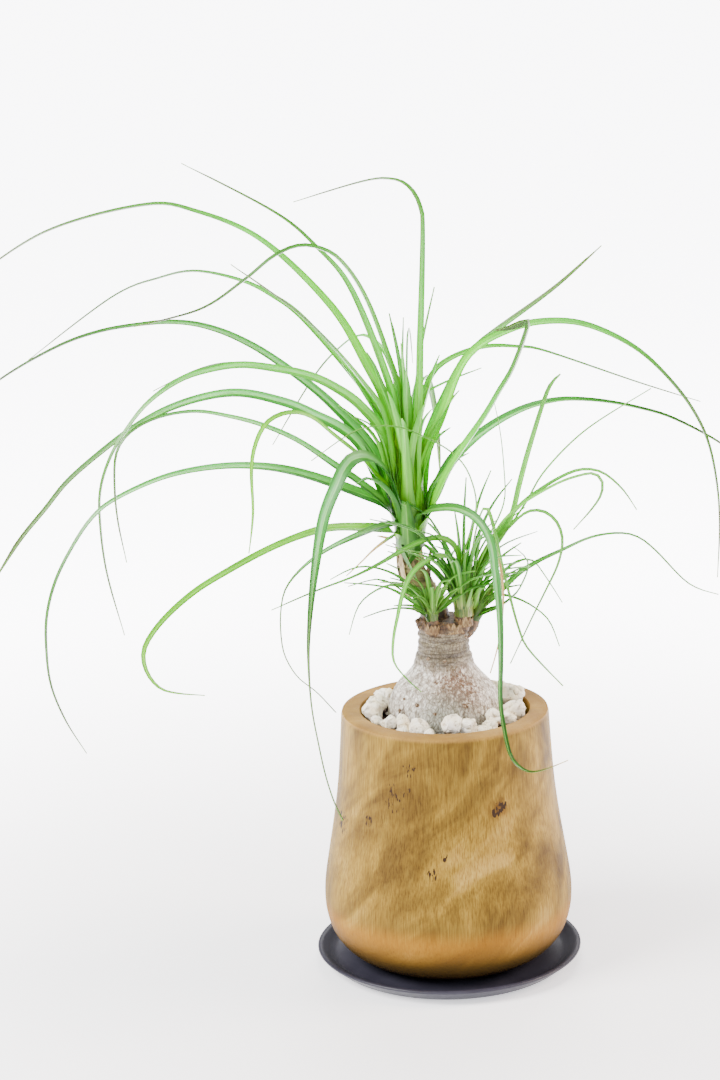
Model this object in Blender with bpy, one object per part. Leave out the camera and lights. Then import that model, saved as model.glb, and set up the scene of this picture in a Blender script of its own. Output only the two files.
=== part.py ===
# Potted ponytail palm: a swollen stem with one tall and three small heads of leaves,
# in a turned wooden pot on a saucer. Metres, +Z up, origin under the middle of the saucer,
# +X to the right of the photo and +Y away from its camera.

import math
import random

import bmesh
import bpy
from mathutils import Vector

MM = 0.001

# Driving dimensions, in millimetres
SAUCER_RADIUS = 105.0
SAUCER_HEIGHT = 12.0
SAUCER_FLOOR = 4.7
POT_FOOT_Z = 5.0
POT_RIM_Z = 208.0
POT_RIM_RADIUS = 81.4
POT_MOUTH_RADIUS = 66.0
POT_WIDEST_RADIUS = 98.0
POT_FLOOR_Z = 21.0
SOIL_TOP_Z = 196.0
STEM_TOP_Z = 281.0
CROWN = Vector((-24.0, 0.0, 340.0))
FRONT_SHOOT = Vector((16.0, -9.0, 286.0))
RIGHT_SHOOT = Vector((23.5, 2.0, 279.0))
RIGHT_LEAN = Vector((0.5, 0.0, 0.866))
LEFT_SHOOT = Vector((-8.0, -15.5, 284.0))
GAP = 0.35
BLADE_THICKNESS = 0.75
FACING = 56.0
POT_SIDES = 44
BULB_SIDES = 30

# Each long leaf lies in one upright plane through its crown. A row holds the bearing of
# that plane in degrees, the leaf's width, and its midrib as (reach, height) from the crown.
MAIN_LEAVES = [
    (172, 9.0, [(0, 30), (14, 100), (34, 146), (60, 188), (110, 236), (160, 258), (200, 263),
                (280, 242), (350, 198)]),
    (155, 6.5, [(0, 30), (9, 95), (17, 130), (46, 197), (75, 228), (110, 253), (190, 288)]),
    (192, 8.5, [(0, 30), (5, 105), (18, 157), (33, 198), (50, 224), (66, 234), (82, 236),
                (100, 229), (122, 213), (156, 193), (207, 183)]),
    (148, 7.0, [(0, 30), (-7, 90), (-12, 165), (-16, 245), (-14, 264), (-5, 277), (10, 282),
                (36, 279), (100, 260)]),
    (205, 7.5, [(0, 30), (19, 98), (38, 132), (82, 184), (140, 231)]),
    (163, 6.5, [(0, 30), (10, 80), (28, 113), (80, 171), (108, 191), (134, 202), (170, 208),
                (200, 202), (240, 186), (315, 133)]),
    (186, 9.0, [(0, 15), (11, 44), (24, 69), (60, 114), (100, 148), (128, 166), (152, 176),
                (173, 180), (195, 180), (230, 176), (265, 165), (310, 141), (345, 112)]),
    (200, 8.0, [(0, 25), (20, 84), (38, 112), (59, 129), (80, 140), (105, 147), (132, 152),
                (158, 150), (180, 144), (203, 130), (220, 112), (233, 93), (242, 70),
                (244, 45), (241, 5), (230, -46)]),
    (176, 3.0, [(0, 40), (19, 84), (36, 109), (60, 126), (76, 134), (100, 140), (135, 144),
                (163, 138), (196, 122)]),
    (194, 8.0, [(0, 15), (8, 36), (38, 81), (76, 109), (103, 121), (130, 128), (155, 127),
                (183, 120), (209, 108), (235, 91), (262, 70), (280, 50), (300, 28), (322, -2)]),
    (206, 7.0, [(0, 15), (21, 35), (42, 54), (64, 71), (92, 92), (120, 107), (147, 117),
                (174, 124), (202, 123), (224, 115), (236, 101), (239, 78), (238, 50), (233, 17)]),
    (212, 6.0, [(0, 20), (14, 42), (30, 59), (43, 75), (66, 95), (83, 110), (99, 117),
                (115, 116), (126, 109), (134, 94), (137, 76), (137, 45), (142, 15)]),
    (202, 8.0, [(0, 12), (20, 33), (41, 45), (90, 66), (127, 75), (163, 77), (198, 73),
                (234, 61), (252, 49), (268, 29), (282, 5), (290, -20), (292, -45), (290, -75),
                (280, -105), (266, -132)]),
    (216, 7.0, [(0, 8), (20, 15), (47, 21), (76, 25), (104, 23), (134, 17), (165, 8),
                (196, -3), (222, -18), (238, -33), (242, -45), (238, -59), (228, -71),
                (212, -78), (191, -84)]),
    (226, 11.0, [(0, 15), (9, 28), (19, 50), (29, 66), (41, 75), (52, 78), (62, 77), (70, 71),
                 (77, 62), (92, 37), (104, -8), (111, -50), (112, -80), (110, -108),
                 (104, -138), (98, -163), (90, -186), (81, -204)]),
    (222, 5.0, [(0, 18), (12, 20), (30, 20), (48, 18), (82, 12), (107, 3), (125, -10),
                (131, -28), (131, -50), (127, -65), (116, -82), (98, -98), (80, -118)]),
    (311, 9.0, [(-8, 14), (0, 20), (13, 27), (40, 36), (61, 38), (79, 33), (92, 20), (97, -3),
                (101, -39), (101, -75), (100, -102), (104, -125), (112, -146), (128, -153),
                (146, -148), (174, -133)]),
    (50, 7.0, [(0, 25), (14, 63), (28, 88), (44, 108), (64, 129), (86, 142), (115, 152),
               (186, 174), (247, 199)]),
    (352, 8.0, [(0, 30), (12, 70), (25, 98), (41, 138), (56, 156), (79, 168), (101, 174),
                (128, 174), (153, 166), (177, 152), (198, 132), (215, 110), (227, 86),
                (234, 56), (237, 22), (236, -22)]),
    (14, 5.0, [(0, 30), (7, 88), (12, 115), (21, 134), (33, 143), (50, 149), (67, 151),
               (87, 149), (110, 144), (186, 114), (235, 96)]),
    (330, 8.0, [(0, 10), (18, 25), (38, 64), (67, 104), (81, 126), (94, 147), (107, 180),
                (104, 184), (90, 178), (78, 174)]),
    (356, 8.0, [(0, 15), (11, 28), (21, 43), (33, 66), (50, 83), (70, 97), (91, 107),
                (111, 112), (128, 113), (152, 111), (177, 106), (202, 98), (237, 79), (262, 58)]),
    (60, 3.5, [(0, 30), (8, 90), (13, 120), (25, 156), (44, 194)]),
    (135, 4.0, [(0, 30), (10, 112), (20, 142), (30, 153), (42, 158), (53, 157), (69, 149),
                (102, 121), (156, 56)]),
    (30, 5.0, [(0, 30), (4, 90), (12, 113), (29, 122), (66, 131)]),
    (190, 3.0, [(0, 7), (12, 9), (28, -2), (39, -12), (51, -22)]),
    (170, 6.0, [(0, 8), (8, 5), (16, 4), (26, 6)]),
    (80, 8.0, [(0, 25), (12, 72), (32, 104), (64, 118), (98, 104), (126, 66), (138, 20)]),
    (100, 7.0, [(0, 20), (20, 58), (52, 84), (88, 84), (120, 58), (138, 14)]),
    (88, 7.0, [(0, 25), (6, 90), (18, 130), (44, 156), (84, 150), (112, 120)]),
    (125, 7.0, [(0, 30), (4, 90), (10, 140), (22, 178)]),
    (20, 6.0, [(0, 30), (-2, 80), (-3, 130), (-2, 178)]),
    (250, 6.0, [(0, 30), (2, 80), (5, 124), (11, 160)]),
]

FRONT_LEAVES = [
    (203, 2.6, [(0, 20), (-6, 60), (-12, 85), (-8, 106), (0, 121), (13, 133), (31, 144),
                (50, 153), (71, 156), (91, 152), (122, 135)]),
    (330, 3.2, [(0, 20), (15, 50), (30, 75), (38, 95), (38, 117), (35, 147), (29, 174)]),
    (340, 5.0, [(0, 20), (22, 50), (40, 78), (48, 107), (56, 135), (71, 180), (80, 193)]),
    (345, 2.2, [(0, 20), (30, 60), (50, 90), (66, 117), (98, 150), (147, 183)]),
    (352, 4.0, [(0, 20), (25, 60), (44, 86), (61, 100), (75, 109), (88, 115), (100, 116),
                (111, 112), (124, 100), (134, 85)]),
    (326, 4.0, [(0, 20), (28, 65), (50, 90), (85, 113), (108, 123), (119, 125), (125, 120),
                (124, 110), (116, 98), (100, 80)]),
    (335, 3.0, [(0, 20), (25, 55), (43, 76), (53, 85), (62, 88), (72, 86), (80, 78), (83, 65),
                (79, 47), (68, 24), (57, 2), (39, -36)]),
    (318, 3.0, [(0, 20), (12, 60), (20, 84), (26, 88), (32, 74), (38, 52), (45, 29), (56, -2),
                (66, -17), (99, -39)]),
    (225, 4.5, [(0, 20), (6, 40), (14, 48), (26, 51), (41, 50), (56, 43), (65, 30), (71, 13),
                (76, -4), (76, -21), (63, -38), (48, -52)]),
    (200, 5.0, [(0, 20), (4, 48), (12, 60), (25, 63), (44, 58), (68, 47), (90, 39), (118, 32),
                (155, 21)]),
    (305, 2.4, [(0, 20), (16, 58), (32, 70), (46, 56), (52, 30), (49, 0), (42, -22), (34, -40)]),
]

RIGHT_LEAVES = [
    (350, 4.0, [(0, 4), (12, 14), (22, 23), (36, 37), (51, 47), (71, 57), (92, 67), (112, 71), (127, 69),
                (141, 59), (167, 33), (190, 25)]),
    (10, 3.4, [(0, 4), (14, 24), (27, 38), (38, 44), (48, 43), (57, 31), (71, 8)]),
    (338, 2.6, [(0, 4), (10, 16), (22, 21), (37, 19), (51, 13), (63, 3), (71, -16)]),
    (326, 4.5, [(0, 2), (14, 8), (27, 14), (40, 25), (48, 38), (52, 50), (47, 58), (37, 63)]),
    (75, 4.0, [(0, 4), (12, 24), (30, 36), (54, 32), (72, 8)]),
    (105, 3.6, [(0, 4), (14, 30), (34, 44), (60, 36), (80, 6)]),
]

LEFT_LEAVES = [
    (190, 3.6, [(0, 4), (8, 12), (19, 29), (32, 39), (49, 45), (63, 44), (79, 37)]),
    (200, 2.4, [(0, 4), (12, 18), (24, 25), (34, 33), (46, 37), (68, 34)]),
    (215, 2.6, [(0, 2), (15, 10), (30, 14), (45, 15), (64, 13)]),
    (172, 3.4, [(0, 4), (16, 22), (34, 26), (56, 12), (66, -14)]),
]

# The stones in view, as (bearing, distance from the axis, height, radius)
STONES = [
    (188, 56, 208, 10.5),
    (166, 54, 207, 8.0),
    (203, 58, 204, 5.5),
    (221, 57, 207, 7.5),
    (232, 52, 209, 6.5),
    (236, 59, 204, 5.5),
    (248, 55, 207, 8.5),
    (259, 59, 204, 5.0),
    (275, 54, 210, 9.0),
    (289, 55, 208, 7.5),
    (299, 59, 204, 5.5),
    (308, 55, 205, 6.0),
    (318, 53, 210, 8.0),
    (330, 57, 206, 6.5),
    (341, 57, 210, 8.5),
    (358, 57, 207, 7.5),
    (20, 56, 211, 9.5),
    (37, 54, 209, 9.0),
]
BACK_STONES = 7


def clear_scene():
    for obj in list(bpy.data.objects):
        bpy.data.objects.remove(obj, do_unlink=True)
    for collection in list(bpy.data.collections):
        bpy.data.collections.remove(collection)


def new_collection(name, helper=False):
    collection = bpy.data.collections.new(name)
    bpy.context.scene.collection.children.link(collection)
    collection.hide_render = helper
    return collection


def material(name, colour, roughness):
    """A Principled material from an sRGB hex colour."""
    made = bpy.data.materials.new(name)
    made.use_nodes = True
    channels = [int(colour[i : i + 2], 16) / 255 for i in (0, 2, 4)]
    linear = [c / 12.92 if c <= 0.04045 else ((c + 0.055) / 1.055) ** 2.4 for c in channels]
    shader = made.node_tree.nodes["Principled BSDF"]
    shader.inputs["Base Color"].default_value = (*linear, 1)
    shader.inputs["Roughness"].default_value = roughness
    shader.inputs["Metallic"].default_value = 0.0
    made.diffuse_color = (*linear, 1)
    return made


def add_object(name, bm, collection):
    """Writes a bmesh, drawn in millimetres, to a new object in metres."""
    bmesh.ops.scale(bm, vec=(MM, MM, MM), verts=bm.verts)
    mesh = bpy.data.meshes.new(name)
    bm.to_mesh(mesh)
    bm.free()
    obj = bpy.data.objects.new(name, mesh)
    collection.objects.link(obj)
    return obj


def turned(name, profile, collection, swell=None, sides=POT_SIDES):
    """A solid turned about Z from (radius, height) points that run down the outer side."""
    bm = bmesh.new()
    corners = [bm.verts.new((radius, 0, height)) for radius, height in profile]
    for first, second in zip(corners, corners[1:]):
        bm.edges.new((first, second))
    bmesh.ops.spin(
        bm,
        geom=bm.verts[:] + bm.edges[:],
        cent=(0, 0, 0),
        axis=(0, 0, 1),
        angle=math.tau,
        steps=sides,
        use_merge=True,
    )
    bmesh.ops.remove_doubles(bm, verts=bm.verts, dist=0.01)
    bmesh.ops.recalc_face_normals(bm, faces=bm.faces)
    if swell:
        for vert in bm.verts:
            grow = swell(math.atan2(vert.co.y, vert.co.x), vert.co.z)
            vert.co.x *= grow
            vert.co.y *= grow
    return add_object(name, bm, collection)


def smooth_path(points, count):
    """count + 1 evenly spaced points on a smooth curve through the given ones."""
    fine = []
    for i in range(len(points) - 1):
        before = points[max(i - 1, 0)]
        start = points[i]
        end = points[i + 1]
        after = points[min(i + 2, len(points) - 1)]
        for step in range(12):
            t = step / 12
            pull = (end - before) * (t - 2 * t**2 + t**3) / 2
            push = (after - start) * (t**3 - t**2) / 2
            fine.append(start.lerp(end, 3 * t**2 - 2 * t**3) + pull + push)
    fine.append(points[-1])
    along = [0.0]
    for first, second in zip(fine, fine[1:]):
        along.append(along[-1] + (second - first).length)
    path = []
    place = 0
    for step in range(count + 1):
        wanted = along[-1] * step / count
        while place < len(fine) - 2 and along[place + 1] < wanted:
            place += 1
        share = (wanted - along[place]) / (along[place + 1] - along[place])
        path.append(fine[place].lerp(fine[place + 1], min(share, 1.0)))
    return path, along[-1]


def blade_width(share):
    """How a blade's width runs from its clasping base to its fine tip."""
    base = 1.0 + 0.4 * max(0.0, 1 - share / 0.3)
    taper = 1.0 - 0.5 * share - 0.38 * share**3
    return base * taper


def blade_twist(share):
    """How far a blade is turned on its midrib: upright parts face out, the arch lies flat."""
    rise = min(1.0, 0.5 + 5 * share)
    fall = max(0.0, min(1.0, (share - 0.25) / 0.4))
    return rise * (1 - 0.85 * fall)


def blade(crown, bearing, width, midrib, collection, spacing):
    """A channelled strap bent along its midrib, made as a grid and thickened."""
    turn = math.radians(bearing)
    twist = math.radians(FACING) * -math.cos(turn) * (1 + 0.2 * math.sin(5 * bearing))
    outward = Vector((math.cos(turn), math.sin(turn), 0))
    across = Vector((-math.sin(turn), math.cos(turn), 0))
    up = Vector((0, 0, 1))
    points = [crown + outward * reach + up * height for reach, height in midrib]
    rough_length = sum((b - a).length for a, b in zip(points, points[1:]))
    count = max(4, min(18, round(rough_length / spacing)))
    path, length = smooth_path(points, count)
    folds = 2 if width >= 8.0 else 1
    bm = bmesh.new()
    bmesh.ops.create_grid(bm, x_segments=folds, y_segments=count, size=0.5)
    for vert in bm.verts:
        side = vert.co.x * 2
        row = round((vert.co.y + 0.5) * count)
        ahead = path[min(row + 1, count)] - path[max(row - 1, 0)]
        above = across.cross(ahead).normalized() * -1
        lean = twist * blade_twist(row / count)
        edgeward = across * math.cos(lean) - above * math.sin(lean)
        faceward = above * math.cos(lean) + across * math.sin(lean)
        wide = max(width * blade_width(row / count), 0.9)
        channel = 0.16 * wide * abs(side) if folds == 2 else 0.0
        vert.co = path[row] + edgeward * (side * wide / 2) + faceward * channel
    bmesh.ops.recalc_face_normals(bm, faces=bm.faces)
    bmesh.ops.solidify(bm, geom=bm.faces[:], thickness=BLADE_THICKNESS)
    bmesh.ops.recalc_face_normals(bm, faces=bm.faces)
    return add_object("blade", bm, collection)


def tube(name, points, radii, sides, collection):
    """A round stem through the points, from a cylinder cut into rings and bent."""
    count = 3 * (len(points) - 1)
    path, length = smooth_path([Vector(p) for p in points], count)
    bm = bmesh.new()
    bmesh.ops.create_cone(
        bm, cap_ends=True, segments=sides, radius1=1.0, radius2=1.0, depth=1.0
    )
    upright = [e for e in bm.edges if abs(e.verts[0].co.z - e.verts[1].co.z) > 0.5]
    bmesh.ops.subdivide_edges(bm, edges=upright, cuts=count - 1, use_grid_fill=True)
    for vert in bm.verts:
        row = round((vert.co.z + 0.5) * count)
        ahead = path[min(row + 1, count)] - path[max(row - 1, 0)]
        place = row / count * (len(radii) - 1)
        low = min(int(place), len(radii) - 2)
        radius = radii[low] + (radii[low + 1] - radii[low]) * (place - low)
        lean = Vector((0, 0, 1)).rotation_difference(ahead.normalized())
        vert.co = path[row] + lean @ Vector((vert.co.x * radius, vert.co.y * radius, 0))
    bmesh.ops.recalc_face_normals(bm, faces=bm.faces)
    return add_object(name, bm, collection)


def boolean(target, other, operation):
    """Applies one Boolean of an object, or of all objects in a collection, and removes them."""
    step = target.modifiers.new("step", "BOOLEAN")
    step.operation = operation
    step.solver = "MANIFOLD"
    if isinstance(other, bpy.types.Collection):
        step.operand_type = "COLLECTION"
        step.collection = other
        used = list(other.objects)
    else:
        step.object = other
        used = [other]
    bpy.context.view_layer.update()
    graph = bpy.context.evaluated_depsgraph_get()
    result = bpy.data.meshes.new_from_object(target.evaluated_get(graph))
    target.modifiers.clear()
    target.data = result
    for obj in used:
        bpy.data.objects.remove(obj, do_unlink=True)


def keep_largest(target):
    """Drops any loose scrap that a Boolean left beside the main body."""
    bm = bmesh.new()
    bm.from_mesh(target.data)
    unseen = set(bm.verts)
    bodies = []
    while unseen:
        stack = [unseen.pop()]
        body = set(stack)
        while stack:
            for edge in stack.pop().link_edges:
                for vert in edge.verts:
                    if vert in unseen:
                        unseen.discard(vert)
                        body.add(vert)
                        stack.append(vert)
        bodies.append(body)
    bodies.sort(key=len)
    loose = [vert for body in bodies[:-1] for vert in body]
    bmesh.ops.delete(bm, geom=loose, context="VERTS")
    bm.to_mesh(target.data)
    bm.free()


def finish(obj, surface, smooth=True):
    obj.data.materials.clear()
    obj.data.materials.append(surface)
    for face in obj.data.polygons:
        face.use_smooth = smooth
    if smooth:
        obj.data.set_sharp_from_angle(angle=math.radians(35))


def bulb_swell(angle, height):
    """The swollen stem is a little out of round, most of all where it is fattest."""
    share = max(0.0, min(1.0, (252 - height) / 40))
    return 1 + share * (0.035 * math.cos(2 * angle + 0.4) + 0.02 * math.cos(3 * angle - 1.1))


def bulb_profile(grow):
    """The stem's outline from its top down to the rounded underside in the soil."""
    outline = [
        (0.0, STEM_TOP_Z),
        (18.0, STEM_TOP_Z - 0.5),
        (20.4, 275.5),
        (19.4, 271.5),
        (20.0, 267.5),
        (19.3, 264.5),
        (20.6, 260.5),
        (20.3, 257.0),
        (22.4, 250.0),
        (24.6, 242.0),
        (30.0, 234.5),
        (36.5, 227.0),
        (41.0, 218.5),
        (43.3, 208.0),
        (42.8, 196.0),
        (38.0, 182.0),
        (26.0, 170.0),
        (0.0, 165.0),
    ]
    grown = []
    for radius, height in outline:
        lift = grow if height == STEM_TOP_Z else (-grow if height < 190 else 0.0)
        grown.append((radius + grow if radius else 0.0, height + lift))
    return grown


def bulb(name, grow, collection):
    return turned(name, bulb_profile(grow), collection, bulb_swell, BULB_SIDES)


clear_scene()
plant = new_collection("potted_ponytail_palm")
helpers = new_collection("cutters_and_pieces", helper=True)

# Saucer: a shallow turned dish with a thin flared lip
saucer = turned(
    "saucer",
    [
        (0.0, SAUCER_FLOOR),
        (88.0, SAUCER_FLOOR),
        (92.0, 5.4),
        (100.6, SAUCER_HEIGHT - 0.4),
        (102.2, SAUCER_HEIGHT),
        (104.2, SAUCER_HEIGHT - 0.2),
        (SAUCER_RADIUS, SAUCER_HEIGHT - 1.2),
        (104.0, 9.6),
        (94.0, 1.6),
        (90.0, 0.0),
        (0.0, 0.0),
    ],
    plant,
)
finish(saucer, material("charcoal_saucer", "3B393F", 0.45))

# Pot: a thick-walled turned bowl that widens from its rim to a low shoulder
pot_outside = [
    (POT_MOUTH_RADIUS, POT_RIM_Z - 3.0),
    (POT_MOUTH_RADIUS + 1.0, POT_RIM_Z - 0.8),
    (POT_MOUTH_RADIUS + 3.5, POT_RIM_Z),
    (POT_RIM_RADIUS - 4.0, POT_RIM_Z - 0.3),
    (POT_RIM_RADIUS - 1.0, POT_RIM_Z - 1.8),
    (POT_RIM_RADIUS, POT_RIM_Z - 4.5),
    (82.9, 180.0),
    (85.2, 150.0),
    (88.8, 122.0),
    (93.4, 94.0),
    (96.9, 72.0),
    (POT_WIDEST_RADIUS, 57.0),
    (96.9, 43.0),
    (92.6, 29.0),
    (84.5, 17.5),
    (74.0, 9.8),
    (60.0, POT_FOOT_Z),
    (0.0, POT_FOOT_Z),
]
pot_inside = [
    (0.0, POT_FLOOR_Z),
    (58.0, 23.0),
    (75.0, 35.0),
    (82.0, 60.0),
    (77.0, 110.0),
    (69.0, 165.0),
]
pot = turned("pot", pot_inside + pot_outside, plant)
finish(pot, material("turned_wood", "B59A66", 0.5))

# Soil: fills the pot to below its rim, with a plain hollow for the stem's underside
soil_side = [(radius - GAP, height) for radius, height in reversed(pot_inside[1:])]
soil = turned(
    "soil",
    [(0.0, SOIL_TOP_Z), (POT_MOUTH_RADIUS + 0.2, SOIL_TOP_Z)]
    + soil_side
    + [(0.0, POT_FLOOR_Z + GAP)],
    plant,
)
boolean(soil, bulb("hollow", GAP, helpers), "DIFFERENCE")
finish(soil, material("dark_soil", "3A2F28", 0.95))

# Stones: lumps of pumice in a ring round the stem, on a thin bed of the same stone
chance = random.Random(7)
bed = turned(
    "pumice_top_dressing",
    [
        (POT_MOUTH_RADIUS - 1.0, SOIL_TOP_Z + 3.0),
        (POT_MOUTH_RADIUS - 1.0, SOIL_TOP_Z + GAP),
        (40.0, SOIL_TOP_Z + GAP),
        (40.0, SOIL_TOP_Z + 3.0),
        (POT_MOUTH_RADIUS - 1.0, SOIL_TOP_Z + 3.0),
    ],
    plant,
    sides=32,
)
for index in range(BACK_STONES):
    bearing = 54 + 96 * (index + chance.uniform(-0.2, 0.2)) / (BACK_STONES - 1)
    size = chance.uniform(6.8, 8.8)
    STONES.append((bearing, 55.5, SOIL_TOP_Z + 3 + 0.9 * size, size))
for bearing, ring, height, size in STONES:
    angle = math.radians(bearing)
    centre = Vector((ring * math.cos(angle), ring * math.sin(angle), height))
    bm = bmesh.new()
    bmesh.ops.create_icosphere(bm, subdivisions=2, radius=1.0)
    stretch = Vector([chance.uniform(0.9, 1.1) for axis in range(3)])
    phase = [chance.uniform(0, math.tau) for axis in range(3)]
    for vert in bm.verts:
        lump = sum(math.sin(3.1 * vert.co[axis] + phase[axis]) for axis in range(3))
        vert.co *= size * (1 + 0.06 * lump)
        vert.co = centre + Vector([vert.co[axis] * stretch[axis] for axis in range(3)])
    add_object("stone", bm, helpers)
boolean(bed, helpers, "UNION")
boolean(bed, bulb("stem_room", GAP, helpers), "DIFFERENCE")
room = turned(
    "mouth_room",
    [
        (POT_MOUTH_RADIUS - GAP, 230.0),
        (90.0, 230.0),
        (90.0, SOIL_TOP_Z - 20.0),
        (0.0, SOIL_TOP_Z - 20.0),
        (0.0, SOIL_TOP_Z + GAP),
        (POT_MOUTH_RADIUS - GAP, SOIL_TOP_Z + GAP),
        (POT_MOUTH_RADIUS - GAP, 230.0),
    ],
    helpers,
    sides=32,
)
boolean(bed, room, "DIFFERENCE")
keep_largest(bed)
finish(bed, material("pumice", "E9E2D4", 0.9), smooth=False)

# Swollen stem, its leaning branch and the three stubs that carry the small heads
caudex = bulb("caudex", 0.0, plant)
UPWARD = Vector((0, 0, 1))
branch = [(-4, 3, 268), (-9, 3, 292), (-21, 1, 316), CROWN - UPWARD * 9, CROWN - UPWARD * GAP]
front_stub = [FRONT_SHOOT - UPWARD * 16, FRONT_SHOOT - UPWARD * GAP]
right_stub = [RIGHT_SHOOT - RIGHT_LEAN * 16, RIGHT_SHOOT - RIGHT_LEAN * GAP]
left_stub = [LEFT_SHOOT - UPWARD * 16, LEFT_SHOOT - UPWARD * GAP]
tube("branch", branch, [12.0, 11.0, 9.8, 9.0, 8.6], 14, helpers)
tube("front_stub", front_stub, [7.5, 5.8], 10, helpers)
tube("right_stub", right_stub, [8.0, 5.6], 10, helpers)
tube("left_stub", left_stub, [6.0, 5.0], 10, helpers)
tube("left_spur", [(-14, -2, 272), (-21, -3, 280)], [4.0, 1.6], 8, helpers)
for bearing, reach, rise in ((168, 16, 25), (208, 14, 20), (20, 12, 20), (95, 13, 22)):
    midrib = [(0, -16), (9, -8), (reach - 2, 5), (reach, rise)]
    blade(Vector((-20.0, 1.0, 314.0)), bearing, 9.0, midrib, helpers, 12.0)
boolean(caudex, helpers, "UNION")
keep_largest(caudex)
finish(caudex, material("caudex_bark", "B4A89F", 0.75))


def head_of_leaves(name, crown, core, rows, colour, spacing):
    """One head: a core of clasped bases with every blade of its rows grown into it."""
    steps = [crown + Vector(step) for step, radius in core]
    radii = [radius for step, radius in core]
    body = tube(name, steps, radii, 12, plant)
    for bearing, width, midrib in rows:
        blade(crown, bearing, width, midrib, helpers, spacing)
    boolean(body, helpers, "UNION")
    keep_largest(body)
    finish(body, material(name + "_green", colour, 0.42))
    return body


def young_leaves(seed, count, first, sweep, lengths, lean):
    """Short upright leaves set round a small head by a fixed rule."""
    pick = random.Random(seed)
    rows = []
    for index in range(count):
        bearing = first + sweep * index / count + pick.uniform(-6, 6)
        length = pick.uniform(*lengths)
        tilt = math.radians(pick.uniform(*lean))
        out = length * math.sin(tilt)
        rise = length * math.cos(tilt)
        bow = pick.uniform(0.05, 0.14) * length
        midrib = [(0, 6), (0.3 * out, 0.4 * rise), (0.62 * out + bow, 0.78 * rise)]
        midrib.append((out + 2.2 * bow, rise))
        rows.append((bearing, pick.uniform(2.6, 4.2), midrib))
    return rows


head_of_leaves(
    "main_rosette",
    CROWN,
    [((0, 0, 0), 9.0), ((0, 0, 22), 11.0), ((1, 0, 44), 9.5), ((2, 0, 70), 5.0)],
    MAIN_LEAVES,
    "6FB340",
    26.0,
)
head_of_leaves(
    "front_shoot",
    FRONT_SHOOT,
    [((0, 0, 0), 5.2), ((0, 0, 14), 5.6), ((1, 0, 36), 3.4)],
    FRONT_LEAVES
    + young_leaves(3, 9, -40, 150, (50, 110), (6, 22))
    + young_leaves(4, 4, 206, 36, (55, 85), (28, 38)),
    "7DBB4E",
    19.0,
)
head_of_leaves(
    "right_shoot",
    RIGHT_SHOOT,
    [((0, 0, 0), 5.6), (RIGHT_LEAN * 12, 6.0), (RIGHT_LEAN * 28, 3.6)],
    RIGHT_LEAVES + young_leaves(5, 5, 0, 100, (35, 60), (20, 40)),
    "5E9B3A",
    18.0,
)
head_of_leaves(
    "left_shoot",
    LEFT_SHOOT,
    [((0, 0, 0), 4.6), ((0, 0, 9), 4.6), ((-1, -2, 20), 3.0)],
    LEFT_LEAVES + young_leaves(9, 6, 196, 150, (22, 40), (14, 40)),
    "5F9E3F",
    16.0,
)

bpy.data.collections.remove(helpers)
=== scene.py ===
# %% [markdown]
# # A potted ponytail palm
#
# A ponytail palm stores water in a swollen foot, and carries long strap leaves in heads at
# the ends of short branches. This one grows in a pot turned from one block of wood, with a
# dressing of pale pumice, and stands on a dark saucer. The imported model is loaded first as
# a fixed frame, and each piece below is a finer form of one of its solids, or of a part of
# one, so that nothing moves or changes size. Lengths are in millimetres until a piece is
# written, and material nodes work in metres, as Blender does.

import math
import random

import bmesh
import bpy
from mathutils import Matrix, Vector, noise


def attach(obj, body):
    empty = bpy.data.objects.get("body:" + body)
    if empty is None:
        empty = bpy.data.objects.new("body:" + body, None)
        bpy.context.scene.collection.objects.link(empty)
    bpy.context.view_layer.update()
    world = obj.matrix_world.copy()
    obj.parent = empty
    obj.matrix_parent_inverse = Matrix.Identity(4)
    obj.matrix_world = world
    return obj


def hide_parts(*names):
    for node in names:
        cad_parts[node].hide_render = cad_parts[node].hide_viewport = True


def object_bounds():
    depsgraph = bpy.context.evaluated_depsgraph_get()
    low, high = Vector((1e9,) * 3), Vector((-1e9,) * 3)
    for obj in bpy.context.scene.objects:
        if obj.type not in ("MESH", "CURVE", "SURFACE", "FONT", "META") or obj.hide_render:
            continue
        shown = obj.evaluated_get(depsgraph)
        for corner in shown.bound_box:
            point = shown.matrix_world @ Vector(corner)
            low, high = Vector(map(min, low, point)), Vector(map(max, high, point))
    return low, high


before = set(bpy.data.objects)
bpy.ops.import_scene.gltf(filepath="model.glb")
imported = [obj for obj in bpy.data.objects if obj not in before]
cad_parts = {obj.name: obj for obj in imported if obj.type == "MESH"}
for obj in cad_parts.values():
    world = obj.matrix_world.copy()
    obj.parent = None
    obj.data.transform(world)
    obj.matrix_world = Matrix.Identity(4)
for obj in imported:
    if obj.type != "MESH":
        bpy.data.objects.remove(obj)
cad_low, cad_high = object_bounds()
MM = 0.001
print("nodes:", sorted(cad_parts))
print("size in mm:", [round(1000 * (b - a), 1) for a, b in zip(cad_low, cad_high)])

# %% [markdown]
# ## Three helpers
#
# Colours are easiest to judge as the sRGB hex values that a colour picker shows, but a
# shader wants linear light, so one function turns the one into the other. A second adds a
# shader node together with its settings and links, which keeps each material to the length
# of its idea. The third writes a finished bmesh to an object whose place is in its mesh.
# Node settings that come up again and again have names, which say what they are for.

# %% Helpers for colours, nodes and pieces
def linear(hex_colour):
    """An sRGB hex value as the linear colour that a shader wants."""
    channels = [int(hex_colour[i : i + 2], 16) / 255 for i in (0, 2, 4)]
    light = [c / 12.92 if c <= 0.04045 else ((c + 0.055) / 1.055) ** 2.4 for c in channels]
    return (*light, 1.0)


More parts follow.
